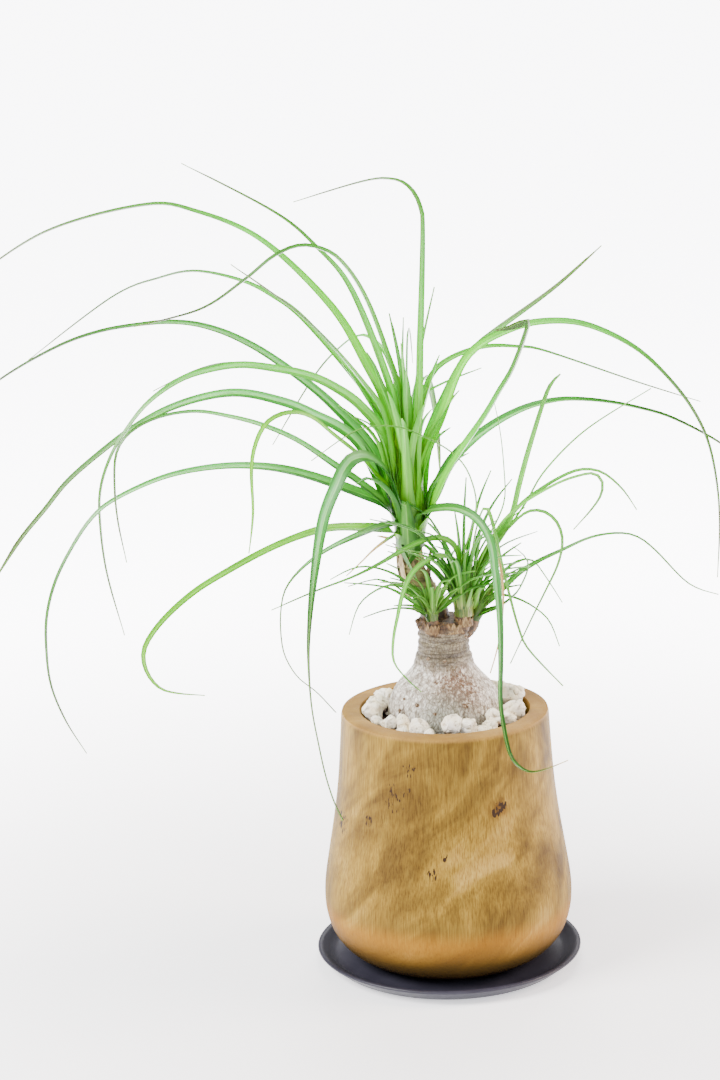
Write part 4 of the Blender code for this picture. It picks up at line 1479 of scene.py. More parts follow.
RIGHT_LEAVES = [
    (350, 4.0, [(0, 4), (12, 14), (22, 23), (36, 37), (51, 47), (71, 57), (92, 67), (112, 71),
                (127, 69), (141, 59), (167, 33), (190, 25)]),
    (10, 3.4, [(0, 4), (14, 24), (27, 38), (38, 44), (48, 43), (57, 31), (71, 8)]),
    (338, 2.6, [(0, 4), (10, 16), (22, 21), (37, 19), (51, 13), (63, 3), (71, -16)]),
    (326, 4.5, [(0, 2), (14, 8), (27, 14), (40, 25), (48, 38), (52, 50), (47, 58), (37, 63)]),
    (75, 4.0, [(0, 4), (12, 24), (30, 36), (54, 32), (72, 8)]),
    (105, 3.6, [(0, 4), (14, 30), (34, 44), (60, 36), (80, 6)]),
]

LEFT_LEAVES = [
    (190, 3.6, [(0, 4), (8, 12), (19, 29), (32, 39), (49, 45), (63, 44), (79, 37)]),
    (200, 2.4, [(0, 4), (12, 18), (24, 25), (34, 33), (46, 37), (68, 34)]),
    (215, 2.6, [(0, 2), (15, 10), (30, 14), (45, 15), (64, 13)]),
    (172, 3.4, [(0, 4), (16, 22), (34, 26), (56, 12), (66, -14)]),
]
print("leaves:", len(MAIN_LEAVES), len(FRONT_LEAVES), len(RIGHT_LEAVES), len(LEFT_LEAVES))

# %% [markdown]
# The heads are filled with short young leaves, which are too many and too much alike to be
# read one by one. A rule sets them round the head, with a seeded chance for the bearing,
# length, lean and width of each, so the same ones come up every time. The tall head also
# has rows of its own, for the broad blades that stand round its crown in the photo.

# %% Young leaves
def young_leaves(seed, count, first, sweep, lengths, lean, droop=0.0):
    """Rows for count short leaves from the bearing first on, round by sweep degrees.

    lengths and lean, in degrees from upright, are each a lowest and a highest value, and
    droop is the share of its length by which a tip hangs out.
    """
    pick = random.Random(seed)
    rows = []
    for index in range(count):
        bearing = first + sweep * index / count + pick.uniform(-6, 6)
        length = pick.uniform(*lengths)
        tilt = math.radians(pick.uniform(*lean))
        out = length * math.sin(tilt)
        rise = length * math.cos(tilt)
        bow = pick.uniform(0.05, 0.14) * length
        midrib = [(0, 6), (0.3 * out, 0.4 * rise), (0.62 * out + bow, 0.78 * rise)]
        sunk = droop * length
        midrib.append((out + 2.2 * bow + sunk, rise - 0.35 * sunk))
        rows.append((bearing, pick.uniform(2.6, 4.2), midrib))
    return rows


MAIN_YOUNG = []
for bearing, width, midrib in young_leaves(14, 5, 210, 280, (60, 96), (4, 15)):
    lifted = [(reach + 2, height + 22) for reach, height in midrib]
    MAIN_YOUNG.append((bearing, width + 5.5, lifted))
MAIN_YOUNG += [
    (184, 14.5, [(0, 24), (5, 62), (12, 100), (24, 138), (30, 152)]),
    (172, 14.0, [(0, 24), (9, 60), (20, 92), (40, 128), (50, 142)]),
    (196, 13.0, [(0, 20), (10, 50), (24, 80), (44, 104), (54, 114)]),
    (4, 14.0, [(0, 24), (5, 62), (11, 100), (21, 136), (25, 148)]),
    (350, 13.5, [(0, 22), (8, 54), (18, 84), (33, 112), (40, 122)]),
    (268, 15.0, [(0, 26), (2, 60), (4, 96), (8, 128), (10, 138)]),
    (240, 14.5, [(0, 22), (6, 56), (13, 88), (24, 116), (29, 126)]),
    (300, 14.5, [(0, 22), (6, 54), (12, 84), (22, 108), (27, 116)]),
    (225, 12.5, [(0, 0), (7, 14), (16, 34), (30, 52), (44, 60), (56, 58)]),
    (262, 13.0, [(0, -2), (5, 12), (11, 26), (20, 36), (28, 38)]),
    (346, 11.0, [(0, 2), (8, 20), (18, 42), (34, 64), (48, 74)]),
]
FRONT_YOUNG = young_leaves(3, 9, -40, 150, (50, 110), (6, 22))
FRONT_YOUNG += young_leaves(4, 4, 206, 36, (55, 85), (28, 38))
for bearing, width, midrib in young_leaves(16, 26, 130, 240, (46, 108), (8, 42), 0.09):
    FRONT_YOUNG.append((bearing, width + 1.0, midrib))
RIGHT_YOUNG = young_leaves(5, 5, 0, 100, (35, 60), (20, 40))
for bearing, width, midrib in young_leaves(17, 9, -80, 190, (30, 62), (14, 46), 0.07):
    RIGHT_YOUNG.append((bearing, width + 1.2, midrib))
LEFT_YOUNG = young_leaves(9, 6, 196, 150, (22, 40), (14, 40))
for bearing, width, midrib in young_leaves(18, 16, 130, 250, (30, 72), (18, 58), 0.09):
    LEFT_YOUNG.append((bearing, width + 0.8, midrib))
print("young leaves:", len(MAIN_YOUNG), len(FRONT_YOUNG), len(RIGHT_YOUNG), len(LEFT_YOUNG))

# %% [markdown]
# A blade is widest where it clasps the column, tapers slowly and ends in a thread. Where it
# stands up it is turned on its midrib to face outwards, and it lies flat over the arch. Two
# small functions tell both by the share of the leaf's length. A material can't read such a
# place from a bent leaf, so each point of a leaf will also keep a few numbers for it.

# %% Width and twist of a blade
# The most, in degrees, that a blade is turned on its midrib where its leaf stands upright
FACING = 56.0
LAYERS = (
    "along",  # 0 at the crown to 1 at a long leaf's tip
    "lane",  # millimetres from the midrib
    "across",  # -1 at one edge to 1 at the other
    "run",  # millimetres along the leaf
    "fresh",  # 1 on the newest leaves
    "dry",  # 1 where the tip has withered
    "tone",  # the leaf's own chance shade, and 1 where it is yellowing
    "under",  # 1 on the underside
)
# Besides fresh, dry and tone, a leaf's marks may say how far it keeps facing out past its
# arch (held), how evenly wide (even) or how slim it is (slim), where along it a thread
# begins (thread) and how fine that gets in millimetres (finest), and by how many degrees
# more it is turned on its midrib (rolled).


def blade_width(share, even):
    """How a blade's width runs from its clasping base to its tip. even keeps it wide."""
    base = 1.0 + 0.5 * max(0.0, 1 - share / 0.33)
    taper = 1.0 - (1 - even) * (0.42 * share + 0.40 * share**3)
    tip = max(0.0, (share - 0.93) / 0.07)
    return base * taper * (1 - 0.75 * tip)


def blade_twist(share, held):
    """How far a blade is turned on its midrib: upright parts face out, the arch lies flat."""
    rise = min(1.0, 0.5 + 5 * share)
    fall = max(0.0, min(1.0, (share - 0.25) / 0.4))
    return rise * (1 - (1 - held) * fall)


def smooth_share(value):
    """0 to 1 with a soft start and end."""
    value = max(0.0, min(1.0, value))
    return value * value * (3 - 2 * value)


print("numbers kept on a leaf:", LAYERS)

# %% [markdown]
# A blade is folded along its midrib like a shallow gutter, which is what lets so thin a
# leaf stand up. Each one here is a flat grid of a few lanes and many rows, where a curve
# with a bevel couldn't fold or wrap. Every row is moved to its step on the leaf's curve,
# turned, folded, and wrapped round the column where it is still a sheath.

# %% The leaf maker
def add_leaf(bm, crown, bearing, width, midrib, column, sheath_top, skin, marks):
    """Bends one grid in bm into a leaf and returns its vertices.

    column gives the sheathed core's radius by height. The leaf clasps it up to the height
    sheath_top, skin millimetres outside it.
    """
    turn = math.radians(bearing)
    twist = math.radians(FACING) * -math.cos(turn) * (1 + 0.2 * math.sin(5 * bearing))
    outward = Vector((math.cos(turn), math.sin(turn), 0))
    across = Vector((-math.sin(turn), math.cos(turn), 0))
    line = [Vector(step) for step in midrib]
    length = sum((b - a).length for a, b in zip(line, line[1:]))
    count = max(10, min(80, round(length / 6)))
    lanes = 6 if width >= 5 else 4
    path = smooth_path(line, count)
    made = bmesh.ops.create_grid(bm, x_segments=lanes, y_segments=count, size=0.5)["verts"]
    layers = {name: bm.verts.layers.float[name] for name in LAYERS}
    up_layer = bm.verts.layers.float_vector["up"]
    for vert in made:
        side = vert.co.x * 2
        row = round((vert.co.y + 0.5) * count)
        share = row / count
        reach, rise = path[row]
        step = path[min(row + 1, count)] - path[max(row - 1, 0)]
        ahead = outward * step.x + UPWARD * step.y
        above = across.cross(ahead).normalized() * -1
        sway = 0.10 * math.sin(7 * share + bearing)
        rolled = math.radians(marks.get("rolled", 0.0)) * smooth_share(share / 0.5)
        lean = twist * blade_twist(share, marks.get("held", 0.14)) + sway + rolled
        edgeward = across * math.cos(lean) - above * math.sin(lean)
        faceward = above * math.cos(lean) + across * math.sin(lean)
        thread = smooth_share((share - marks.get("thread", 2.0)) / 0.4)
        wide = width * marks.get("slim", 1.0) * blade_width(share, marks.get("even", 0.0))
        wide *= 1 - 0.82 * thread
        wide = max(wide, marks.get("finest", 0.6))
        hug = between(column, rise)
        clasp = 1 - smooth_share((rise - sheath_top) / 45)
        wrap = 0.0
        if hug > 0.5:
            wrap = clasp * (1 - smooth_share((reach - hug) / (1.3 * hug + 0.5)))
        out = reach + clasp * (max(reach, hug + skin) - reach)
        fold = 0.10 + 0.20 * smooth_share(share / 0.4)
        gutter = fold * wide * abs(side) ** 1.2
        middle = crown + outward * out + UPWARD * rise
        open_place = middle + edgeward * (side * wide / 2) + faceward * gutter
        angle = turn + side * min(0.62 * wide / max(out, 1.0), 1.25)
        round_it = Vector((math.cos(angle), math.sin(angle), 0))
        wrapped_place = crown + round_it * (out + 0.35 * abs(side)) + UPWARD * rise
        vert[up_layer] = faceward.lerp(outward, wrap)
        vert[layers["along"]] = min(0.95, share * min(1.0, length / 260) + 0.3 * thread)
        vert[layers["lane"]] = side * wide / 2
        vert[layers["across"]] = side
        vert[layers["run"]] = share * length
        vert[layers["fresh"]] = marks["fresh"]
        vert[layers["tone"]] = marks["tone"]
        vert[layers["dry"]] = smooth_share((share - marks["dry"]) / 0.12)
        vert.co = open_place.lerp(wrapped_place, wrap)
    return made


print("leaf maker is ready")

# %% [markdown]
# ## Leaf finish
#
# A ponytail palm's leaf has a waxy skin with dozens of fine parallel veins. They run along
# the leaf, so the pattern reads the lane and the run that each point keeps. The run is
# squeezed, which draws the streaks out along the blade, and the leaf's tone moves them, so
# that no two leaves are alike. The real veins are half a millimetre apart, and are drawn at
# 0.8 mm to show.

# %% Leaf patterns
VEIN_STEP = 0.8


def leaf_patterns(tree):
    """The numbers kept on a leaf's points, and the streaks, clouds and veins drawn from them."""
    kept = {}
    for layer in LAYERS:
        found = add_node(tree, "ShaderNodeAttribute", {"attribute_name": layer})
        kept[layer] = found.outputs["Fac"]
    squeezed = add_node(
        tree, "ShaderNodeMath", {"operation": "MULTIPLY"}, {0: kept["run"], 1: 0.03}
    ).outputs["Value"]
    apart = add_node(
        tree, "ShaderNodeMath", {"operation": "MULTIPLY"}, {0: kept["tone"], 1: 40.0}
    ).outputs["Value"]
    strip = add_node(
        tree, "ShaderNodeCombineXYZ", inputs={"X": kept["lane"], "Y": squeezed, "Z": apart}
    ).outputs["Vector"]
    kept["streaks"] = add_node(
        tree,
        "ShaderNodeTexNoise",
        inputs={"Vector": strip, "Scale": 0.95, "Detail": 2.0, "Roughness": 0.55},
    ).outputs["Fac"]
    kept["cloud"] = add_node(
        tree, "ShaderNodeTexNoise", inputs={"Vector": strip, "Scale": 0.35, "Detail": 2.0}
    ).outputs["Fac"]
    turns = math.tau / VEIN_STEP
    phase = add_node(
        tree, "ShaderNodeMath", {"operation": "MULTIPLY"}, {0: kept["lane"], 1: turns}
    ).outputs["Value"]
    kept["veins"] = add_node(
        tree, "ShaderNodeMath", {"operation": "SINE"}, {0: phase}
    ).outputs["Value"]
    return kept


print("veins drawn every", VEIN_STEP, "mm")

# %% [markdown]
# New leaves are a bright yellow-green where they leave the crown. Older ones are darker
# there and bluer on the arch, and all of them fade to grey-olive threads. So there are two
# runs of colour from crown to tip, and each leaf mixes them by how fresh it is. A slow cloud
# moves the place where they are read, because no leaf changes colour at a ruled line.

# %% Leaf colour from crown to tip
def colour_by_age(tree, kept, fresh_stops, mature_stops):
    """Two runs of colour along the leaf, mixed by how fresh it is."""
    wandering = add_node(
        tree,
        "ShaderNodeMath",
        {"operation": "MULTIPLY_ADD"},
        {0: kept["cloud"], 1: 0.16, 2: kept["along"]},
    ).outputs["Value"]
    placed = add_node(
        tree, "ShaderNodeMath", {"operation": "SUBTRACT"}, {0: wandering, 1: 0.08}
    ).outputs["Value"]
    fresh_tint = add_node(
        tree, "ShaderNodeValToRGB", inputs={"Fac": placed}, stops=fresh_stops
    ).outputs["Color"]
    mature_tint = add_node(
        tree, "ShaderNodeValToRGB", inputs={"Fac": placed}, stops=mature_stops
    ).outputs["Color"]
    return add_node(
        tree, "ShaderNodeMix", BLEND, {0: kept["fresh"], 6: mature_tint, 7: fresh_tint}
    ).outputs[2]


print("leaf colour by age is ready")

# %% [markdown]
# Where an older leaf arches over, its underside is painted a pale blue-green: its wax bloom,
# and painted sheen where the wax catches light. A paler band beside the midrib is a painted
# highlight. Both fade in as the leaf rises and out towards the tip, and new leaves have
# hardly any.

# %% Wax bloom, painted sheen and painted highlight on the arch
def add_wax_and_painted_sheen(tree, kept, colour, wax, aged):
    """Pale wax bloom and painted sheen under the arch, and a painted highlight by the midrib."""
    rising = add_node(
        tree,
        "ShaderNodeMapRange",
        inputs={"Value": kept["along"], "From Min": 0.14, "From Max": 0.34, "To Max": wax},
    ).outputs["Result"]
    falling = add_node(
        tree,
        "ShaderNodeMapRange",
        inputs={
            "Value": kept["along"],
            "From Min": 0.5,
            "From Max": 0.72,
            "To Min": 1.0,
            "To Max": 0.12,
        },
    ).outputs["Result"]
    arching = add_node(
        tree, "ShaderNodeMath", {"operation": "MULTIPLY"}, {0: rising, 1: falling}
    ).outputs["Value"]
    waxed = add_node(
        tree, "ShaderNodeMath", {"operation": "MULTIPLY"}, {0: arching, 1: aged}
    ).outputs["Value"]
    # Painted sheen: the underside of the arch is paled to blue-green, with the wax bloom
    pale = add_node(
        tree, "ShaderNodeMath", {"operation": "MULTIPLY"}, {0: kept["under"], 1: waxed}
    ).outputs["Value"]
    with_bloom_and_sheen = add_node(
        tree, "ShaderNodeMix", BLEND, {0: pale, 6: colour, 7: linear("8CCB8E")}
    ).outputs[2]
    # Painted highlight: a pale band just beside the midrib
    from_band = add_node(
        tree, "ShaderNodeMath", {"operation": "ADD"}, {0: kept["across"], 1: 0.2}
    ).outputs["Value"]
    from_band = add_node(
        tree, "ShaderNodeMath", {"operation": "ABSOLUTE"}, {0: from_band}
    ).outputs["Value"]
    painted_light_band = add_node(
        tree,
        "ShaderNodeMapRange",
        SOFT_EDGES,
        {"Value": from_band, "From Min": 0.45, "From Max": 0.10, "To Max": 0.9},
    ).outputs["Result"]
    painted_light_band = add_node(
        tree, "ShaderNodeMath", {"operation": "MULTIPLY"}, {0: painted_light_band, 1: waxed}
    ).outputs["Value"]
    return add_node(
        tree, "ShaderNodeMix", BLEND, {0: painted_light_band, 6: with_bloom_and_sheen, 7: linear("C4E6C4")}
    ).outputs[2]


print("wax is ready")

# %% [markdown]
# Next come the shades across the blade. A yellowing leaf is first turned towards lime.
# Streaks run along every blade, and the half past the midrib and the margins are darkened
# with painted shade, as light falls on a folded blade.

# %% Shades across the blade
def add_shades(tree, kept, colour, aged):
    """Yellowing, streaks, and painted shade on the far half and margins of a folded blade."""
    yellowing = add_node(
        tree,
        "ShaderNodeMapRange",
        inputs={"Value": kept["tone"], "From Min": 0.9, "From Max": 1.0, "To Max": 0.85},
    ).outputs["Result"]
    by_leaf = add_node(
        tree, "ShaderNodeMix", BLEND, {0: yellowing, 6: colour, 7: linear("74B400")}
    ).outputs[2]
    streak_tint = add_node(
        tree,
        "ShaderNodeValToRGB",
        inputs={"Fac": kept["streaks"]},
        stops=[(0.32, "A9C49A"), (0.5, "E4EEDC"), (0.66, "FFFFFF")],
    ).outputs["Color"]
    streaked = add_node(
        tree, "ShaderNodeMix", DARKEN, {0: 0.7, 6: by_leaf, 7: streak_tint}
    ).outputs[2]
    # Painted shade: the half past the midrib is darkened, as the fold turns it from the light
    painted_far_half_shade = add_node(
        tree,
        "ShaderNodeMapRange",
        SOFT_EDGES,
        {"Value": kept["across"], "From Min": -0.05, "From Max": 0.25, "To Max": 0.8},
    ).outputs["Result"]
    painted_far_half_shade = add_node(
        tree, "ShaderNodeMath", {"operation": "MULTIPLY"}, {0: painted_far_half_shade, 1: aged}
    ).outputs["Value"]
    with_painted_half_shade = add_node(
        tree, "ShaderNodeMix", DARKEN, {0: painted_far_half_shade, 6: streaked, 7: linear("82AC74")}
    ).outputs[2]
    from_middle = add_node(
        tree, "ShaderNodeMath", {"operation": "ABSOLUTE"}, {0: kept["across"]}
    ).outputs["Value"]
    # Painted shade: the margins are darkened too
    painted_margin_shade = add_node(
        tree,
        "ShaderNodeMapRange",
        SOFT_EDGES,
        {"Value": from_middle, "From Min": 0.5, "From Max": 1.0, "To Max": 0.65},
    ).outputs["Result"]
    return add_node(
        tree, "ShaderNodeMix", DARKEN, {0: painted_margin_shade, 6: with_painted_half_shade, 7: linear("8FB07A")}
    ).outputs[2]


print("shades are ready")

# %% [markdown]
# The last colours belong to single leaves and to small places. A leaf with a low tone is
# deepened, the midrib is a paler line, and the tip is tan where it has withered.

# %% Deep leaves, midrib and dry tip
def add_rib_and_tip(tree, kept, colour):
    """A deeper shade for leaves with a low tone, the pale midrib and the dry tip."""
    deep = add_node(
        tree,
        "ShaderNodeMapRange",
        inputs={"Value": kept["tone"], "From Max": 0.55, "To Min": 0.5, "To Max": 0.0},
    ).outputs["Result"]
    deepened = add_node(
        tree, "ShaderNodeMix", DARKEN, {0: deep, 6: colour, 7: linear("9CB89C")}
    ).outputs[2]
    from_rib = add_node(
        tree, "ShaderNodeMath", {"operation": "ABSOLUTE"}, {0: kept["lane"]}
    ).outputs["Value"]
    midrib = add_node(
        tree,
        "ShaderNodeMapRange",
        inputs={"Value": from_rib, "From Min": 0.5, "From Max": 0.1, "To Max": 0.35},
    ).outputs["Result"]
    ribbed = add_node(
        tree, "ShaderNodeMix", BLEND, {0: midrib, 6: deepened, 7: linear("9CCB66")}
    ).outputs[2]
    return add_node(
        tree, "ShaderNodeMix", BLEND, {0: kept["dry"], 6: ribbed, 7: linear("B58E63")}
    ).outputs[2]


print("midrib and dry tip are ready")

# %% [markdown]
# The leaf skin is waxed cellulose over wet green cells. Its gloss is a satin one, broken by
# the streaks, and the veins are a bump too low to break the outline. Light also passes
# through so thin a blade, so the shader scatters a little of it inside, more of the green
# than of the red or blue.

# %% Leaf finishes
def leaf_surface(name, fresh_stops, mature_stops, wax):
    """Waxy, veined leaf skin. The stops give the colour from the crown to the tip."""
    surface = bpy.data.materials.new(name)
    surface.use_nodes = True
    tree = surface.node_tree
    kept = leaf_patterns(tree)
    aged = add_node(
        tree, "ShaderNodeMath", {"operation": "MULTIPLY_ADD"}, {0: kept["fresh"], 1: -0.8, 2: 1.0}
    ).outputs["Value"]
    colour = colour_by_age(tree, kept, fresh_stops, mature_stops)
    colour = add_wax_and_painted_sheen(tree, kept, colour, wax, aged)
    colour = add_shades(tree, kept, colour, aged)
    colour = add_rib_and_tip(tree, kept, colour)
    gloss = add_node(
        tree,
        "ShaderNodeMapRange",
        inputs={
            "Value": kept["streaks"],
            "From Min": 0.3,
            "From Max": 0.7,
            "To Min": 0.38,
            "To Max": 0.27,
        },
    ).outputs["Result"]
    relief = add_node(
        tree,
        "ShaderNodeMath",
        {"operation": "MULTIPLY_ADD"},
        {0: kept["veins"], 1: 0.3, 2: kept["streaks"]},
    ).outputs["Value"]
    skin = add_node(
        tree, "ShaderNodeBump", inputs={"Strength": 0.2, "Distance": 0.0002, "Height": relief}
    )
    shader = tree.nodes["Principled BSDF"]
    tree.links.new(colour, shader.inputs["Base Color"])
    tree.links.new(gloss, shader.inputs["Roughness"])
    tree.links.new(skin.outputs["Normal"], shader.inputs["Normal"])
    shader.inputs["IOR"].default_value = 1.45
    shader.inputs["Specular IOR Level"].default_value = 0.3
    shader.inputs["Subsurface Weight"].default_value = 0.45
    shader.inputs["Subsurface Radius"].default_value = (0.5, 1.0, 0.25)
    shader.inputs["Subsurface Scale"].default_value = 0.002
    print("made", name)
    return surface


print("leaf finish is ready")

# %% [markdown]
# Each head has its own colours from crown to tip, and the two low ones are darker. The last
# number is how much wax bloom, painted sheen and painted highlight show.

# %% Leaf colours
# Tall head
MAIN_FRESH = [
    (0.0, "6CA03C"),
    (0.06, "7CCA1E"),
    (0.16, "80D608"),
    (0.34, "72CC12"),
    (0.52, "5EB638"),
    (0.68, "4C862A"),
    (0.85, "4A661E"),
    (0.97, "545628"),
]
MAIN_MATURE = [
    (0.0, "4C7C36"),
    (0.10, "54943C"),
    (0.22, "58A048"),
    (0.36, "64B668"),
    (0.50, "5CAC54"),
    (0.68, "3C7422"),
    (0.85, "425E1C"),
    (0.97, "505428"),
]
# Middle side head
SMALL_FRESH = [
    (0.0, "B8B46A"),
    (0.05, "9CBE4A"),
    (0.14, "7ABA36"),
    (0.5, "6EB242"),
    (0.8, "5A9038"),
    (0.97, "66763A"),
]
SMALL_MATURE = [
    (0.0, "BEB468"),
    (0.035, "8EA44C"),
    (0.10, "569434"),
    (0.45, "64AE58"),
    (0.75, "569840"),
    (0.97, "5E6C36"),
]
# The two low heads, which are darker
LOW_FRESH = [
    (0.0, "7C8E44"),
    (0.05, "68963A"),
    (0.14, "5C9A34"),
    (0.5, "5EA044"),
    (0.8, "54883A"),
    (0.97, "66763A"),
]
LOW_MATURE = [
    (0.0, "586E30"),
    (0.10, "48762A"),
    (0.45, "569650"),
    (0.75, "4A7E36"),
    (0.97, "5E6C36"),
]
main_skin = leaf_surface("waxy_leaf_tall_head", MAIN_FRESH, MAIN_MATURE, 0.6)
front_skin = leaf_surface("waxy_leaf_front_head", SMALL_FRESH, SMALL_MATURE, 0.2)
right_skin = leaf_surface("waxy_leaf_right_head", LOW_FRESH, LOW_MATURE, 0.2)
left_skin = leaf_surface("waxy_leaf_left_head", LOW_FRESH, LOW_MATURE, 0.2)

# %% [markdown]
# ## Heads of leaves
#
# A head is built from the inside out: a core of clasped leaf bases, then every leaf of its
# table. A leaf that starts lower is older, so it wraps over the others and is less fresh.
# All the grids of a head go into one bmesh and are thickened together at the end, and no
# point may pass the front or back of the solids.

# %% A head of leaves
# Front and back of the solids, less a tenth of a millimetre
FRONT_LIMIT = 1000 * cad_low[1] + 0.1
BACK_LIMIT = 1000 * cad_high[1] - 0.1
BLADE_THICKNESS = 0.5
# How far a sheath goes down its column, and how far up it or out from it a leaf is free
SHEATH_DEPTH = 16
FREE_RISE = 30
FREE_REACH = 2


def head(name, crown, core, column, rows, surface, node, special):
    """One head of leaves, as one piece.

    core gives steps from the crown with the core's radius there, column the radius by height
    that the sheaths clasp, and special the marks of odd leaves by bearing.
    """
    bm = bmesh.new()
    for layer in LAYERS:
        bm.verts.layers.float.new(layer)
    bm.verts.layers.float_vector.new("up")
    pick = random.Random(len(rows))
    newest = max(row[2][0][1] for row in rows)
    for bearing, width, midrib in rows:
        start = midrib[0][1]
        age = (newest - start) / max(newest, 1)
        fresh = smooth_share(1.15 - 1.5 * age)
        marks = {"fresh": fresh, "tone": 0.9 * pick.random(), "dry": 0.985}
        marks.update(special.get(bearing, {}))
        line = list(midrib)
        skin = 0.2 + 1.6 * age
        if between(column, start) > 0.5:
            low = max(start - SHEATH_DEPTH, -1.0)
            line = [(between(column, low) + skin, low), (between(column, start) + skin, start)]
            for reach, rise in midrib:
                if rise > start + FREE_RISE or reach > between(column, rise) + FREE_REACH:
                    line.append((reach, rise))
        add_leaf(bm, crown, bearing, width, line, column, start + 8, skin, marks)
    bmesh.ops.recalc_face_normals(bm, faces=bm.faces)
    bmesh.ops.solidify(bm, geom=bm.faces[:], thickness=BLADE_THICKNESS)
    bmesh.ops.recalc_face_normals(bm, faces=bm.faces)
    bm.normal_update()
    up_layer = bm.verts.layers.float_vector["up"]
    under = bm.verts.layers.float["under"]
    for vert in bm.verts:
        vert[under] = smooth_share(0.5 - 2 * vert.normal.dot(vert[up_layer]))
        vert.co.y = max(FRONT_LIMIT, min(BACK_LIMIT, vert.co.y))
    bm.verts.layers.float_vector.remove(up_layer)
    layers = {layer: bm.verts.layers.float[layer] for layer in LAYERS}
    steps = [crown + Vector(step) for step, radius in core]
    radii = [radius * 0.96 for step, radius in core]
    for vert in add_tube(bm, steps, radii, 28, 24):
        away = vert.co - crown
        vert[layers["along"]] = 0.02 + away.z / 900
        vert[layers["lane"]] = 8 * math.atan2(away.y, away.x)
        vert[layers["across"]] = 0.3
        vert[layers["run"]] = away.z
        vert[layers["fresh"]] = smooth_share(away.z / (0.8 * newest + 10))
        vert[layers["tone"]] = 0.3
        vert[layers["dry"]] = 0.0
    return write_piece(name, bm, surface, node, sharp=40.0)


print("blades stay between y =", round(FRONT_LIMIT, 1), "and", round(BACK_LIMIT, 1), "mm")

# %% [markdown]
# The tall head has a real column, a few centimetres of clasped bases that its leaves rise
# from. Its marks follow the photo: two yellowing leaves on the left, one even blade on the
# right that stays turned past its arch, two old leaves in front that hang down to a long
# thread, a dry strip and a dry stump, and the broad young blades of the crown.

# %% Tall head
TALL_MARKS = {
    212: {"tone": 1.0, "fresh": 0.9, "held": 0.7},
    216: {"tone": 1.0, "fresh": 0.6, "held": 0.8},
    330: {"tone": 0.6, "fresh": 0.8, "held": 1.0, "even": 0.6, "slim": 1.25},
    194: {"held": 0.5, "even": 0.35},
    50: {"held": 0.7, "fresh": 0.7, "tone": 0.7},
    88: {"slim": 0.7, "rolled": 75.0},
    184: {"fresh": 1.0, "tone": 0.5},
    172: {"fresh": 1.0, "tone": 0.4},
    196: {"fresh": 0.9, "tone": 0.3},
    4: {"fresh": 1.0, "tone": 0.5},
    350: {"fresh": 1.0, "tone": 0.4},
    268: {"fresh": 1.0, "tone": 0.25},
    240: {"fresh": 1.0, "tone": 0.35},
    300: {"fresh": 1.0, "tone": 0.2},
    262: {"fresh": 0.25, "tone": 0.2},
    225: {"fresh": 0.1, "tone": 0.2},
    346: {"fresh": 0.3, "tone": 0.2},
    311: {"dry": 0.90, "slim": 0.74},
    190: {"dry": 0.3},
    170: {"dry": 0.2},
    226: {"tone": 0.3, "fresh": 0.0, "thread": 0.34, "finest": 0.9, "held": 0.7},
    222: {"tone": 0.3, "fresh": 0.0, "thread": 0.24, "finest": 0.9},
}
head(
    "tall_head_leaves",
    CROWN,
    [
        ((0, 0, 0), 9.0),
        ((0, 0, 18), 10.4),
        ((0, 0, 34), 7.4),
        ((1, 0, 50), 3.2),
        ((1, 0, 64), 0.5),
    ],
    [(0, 9.0), (22, 10.8), (44, 9.4), (70, 6.5), (95, 3.0), (112, 0.0)],
    MAIN_LEAVES + MAIN_YOUNG,
    main_skin,
    "main_rosette",
    TALL_MARKS,
)

# %% [markdown]
# The three small heads are made the same way, on shorter and slimmer cores. The middle
# one's fine blades stay turned past their arches, and one of them is dry from half way on.
# The right head leans outwards with its stub, so its core leans too and its leaves clasp
# nothing.

# %% Small heads
FRONT_MARKS = {
    305: {"dry": 0.45},
    340: {"held": 1.0, "even": 0.7, "slim": 1.3},
    330: {"held": 0.9},
    345: {"held": 0.8},
    352: {"held": 0.7},
    326: {"held": 0.7},
    335: {"held": 0.7},
    318: {"held": 0.6},
}
head(
    "front_head_leaves",
    FRONT_SHOOT,
    [
        ((0, 0, 0), 5.2),
        ((0, 0, 12), 5.6),
        ((0.6, 0, 24), 4.0),
        ((1, 0, 36), 1.2),
        ((1, 0, 48), 0.4),
    ],
    [(0, 5.2), (14, 5.6), (30, 3.6), (42, 1.5), (50, 0.0)],
    FRONT_LEAVES + FRONT_YOUNG,
    front_skin,
    "front_shoot",
    FRONT_MARKS,
)
head(
    "right_head_leaves",
    RIGHT_SHOOT,
    [((0, 0, 0), 5.6), (RIGHT_LEAN * 10, 5.6), (RIGHT_LEAN * 20, 2.8), (RIGHT_LEAN * 30, 0.5)],
    [(0, 0.0)],
    RIGHT_LEAVES + RIGHT_YOUNG,
    right_skin,
    "right_shoot",
    {},
)
head(
    "left_head_leaves",
    LEFT_SHOOT,
    [((0, 0, 0), 3.4), ((0, 0, 8), 3.8), ((-1, -2, 16), 2.4), ((-1, -3, 24), 0.5)],
    [(0, 3.2), (8, 3.8), (16, 2.6), (24, 0.0)],
    LEFT_LEAVES + LEFT_YOUNG,
    left_skin,
    "left_shoot",
    {},
)

# %% [markdown]
# ## Dry sheaths
#
# Where old leaves were pulled off, their papery bases stay. They are thin, fibrous and
# dull, pale tan when fresh and reddish brown when old, so the tone of each scale mixes the
# two. The fibres run along it, and are read from its lane and run as on a leaf.

# %% Dry sheath finish
papery = bpy.data.materials.new("papery_dry_sheath")
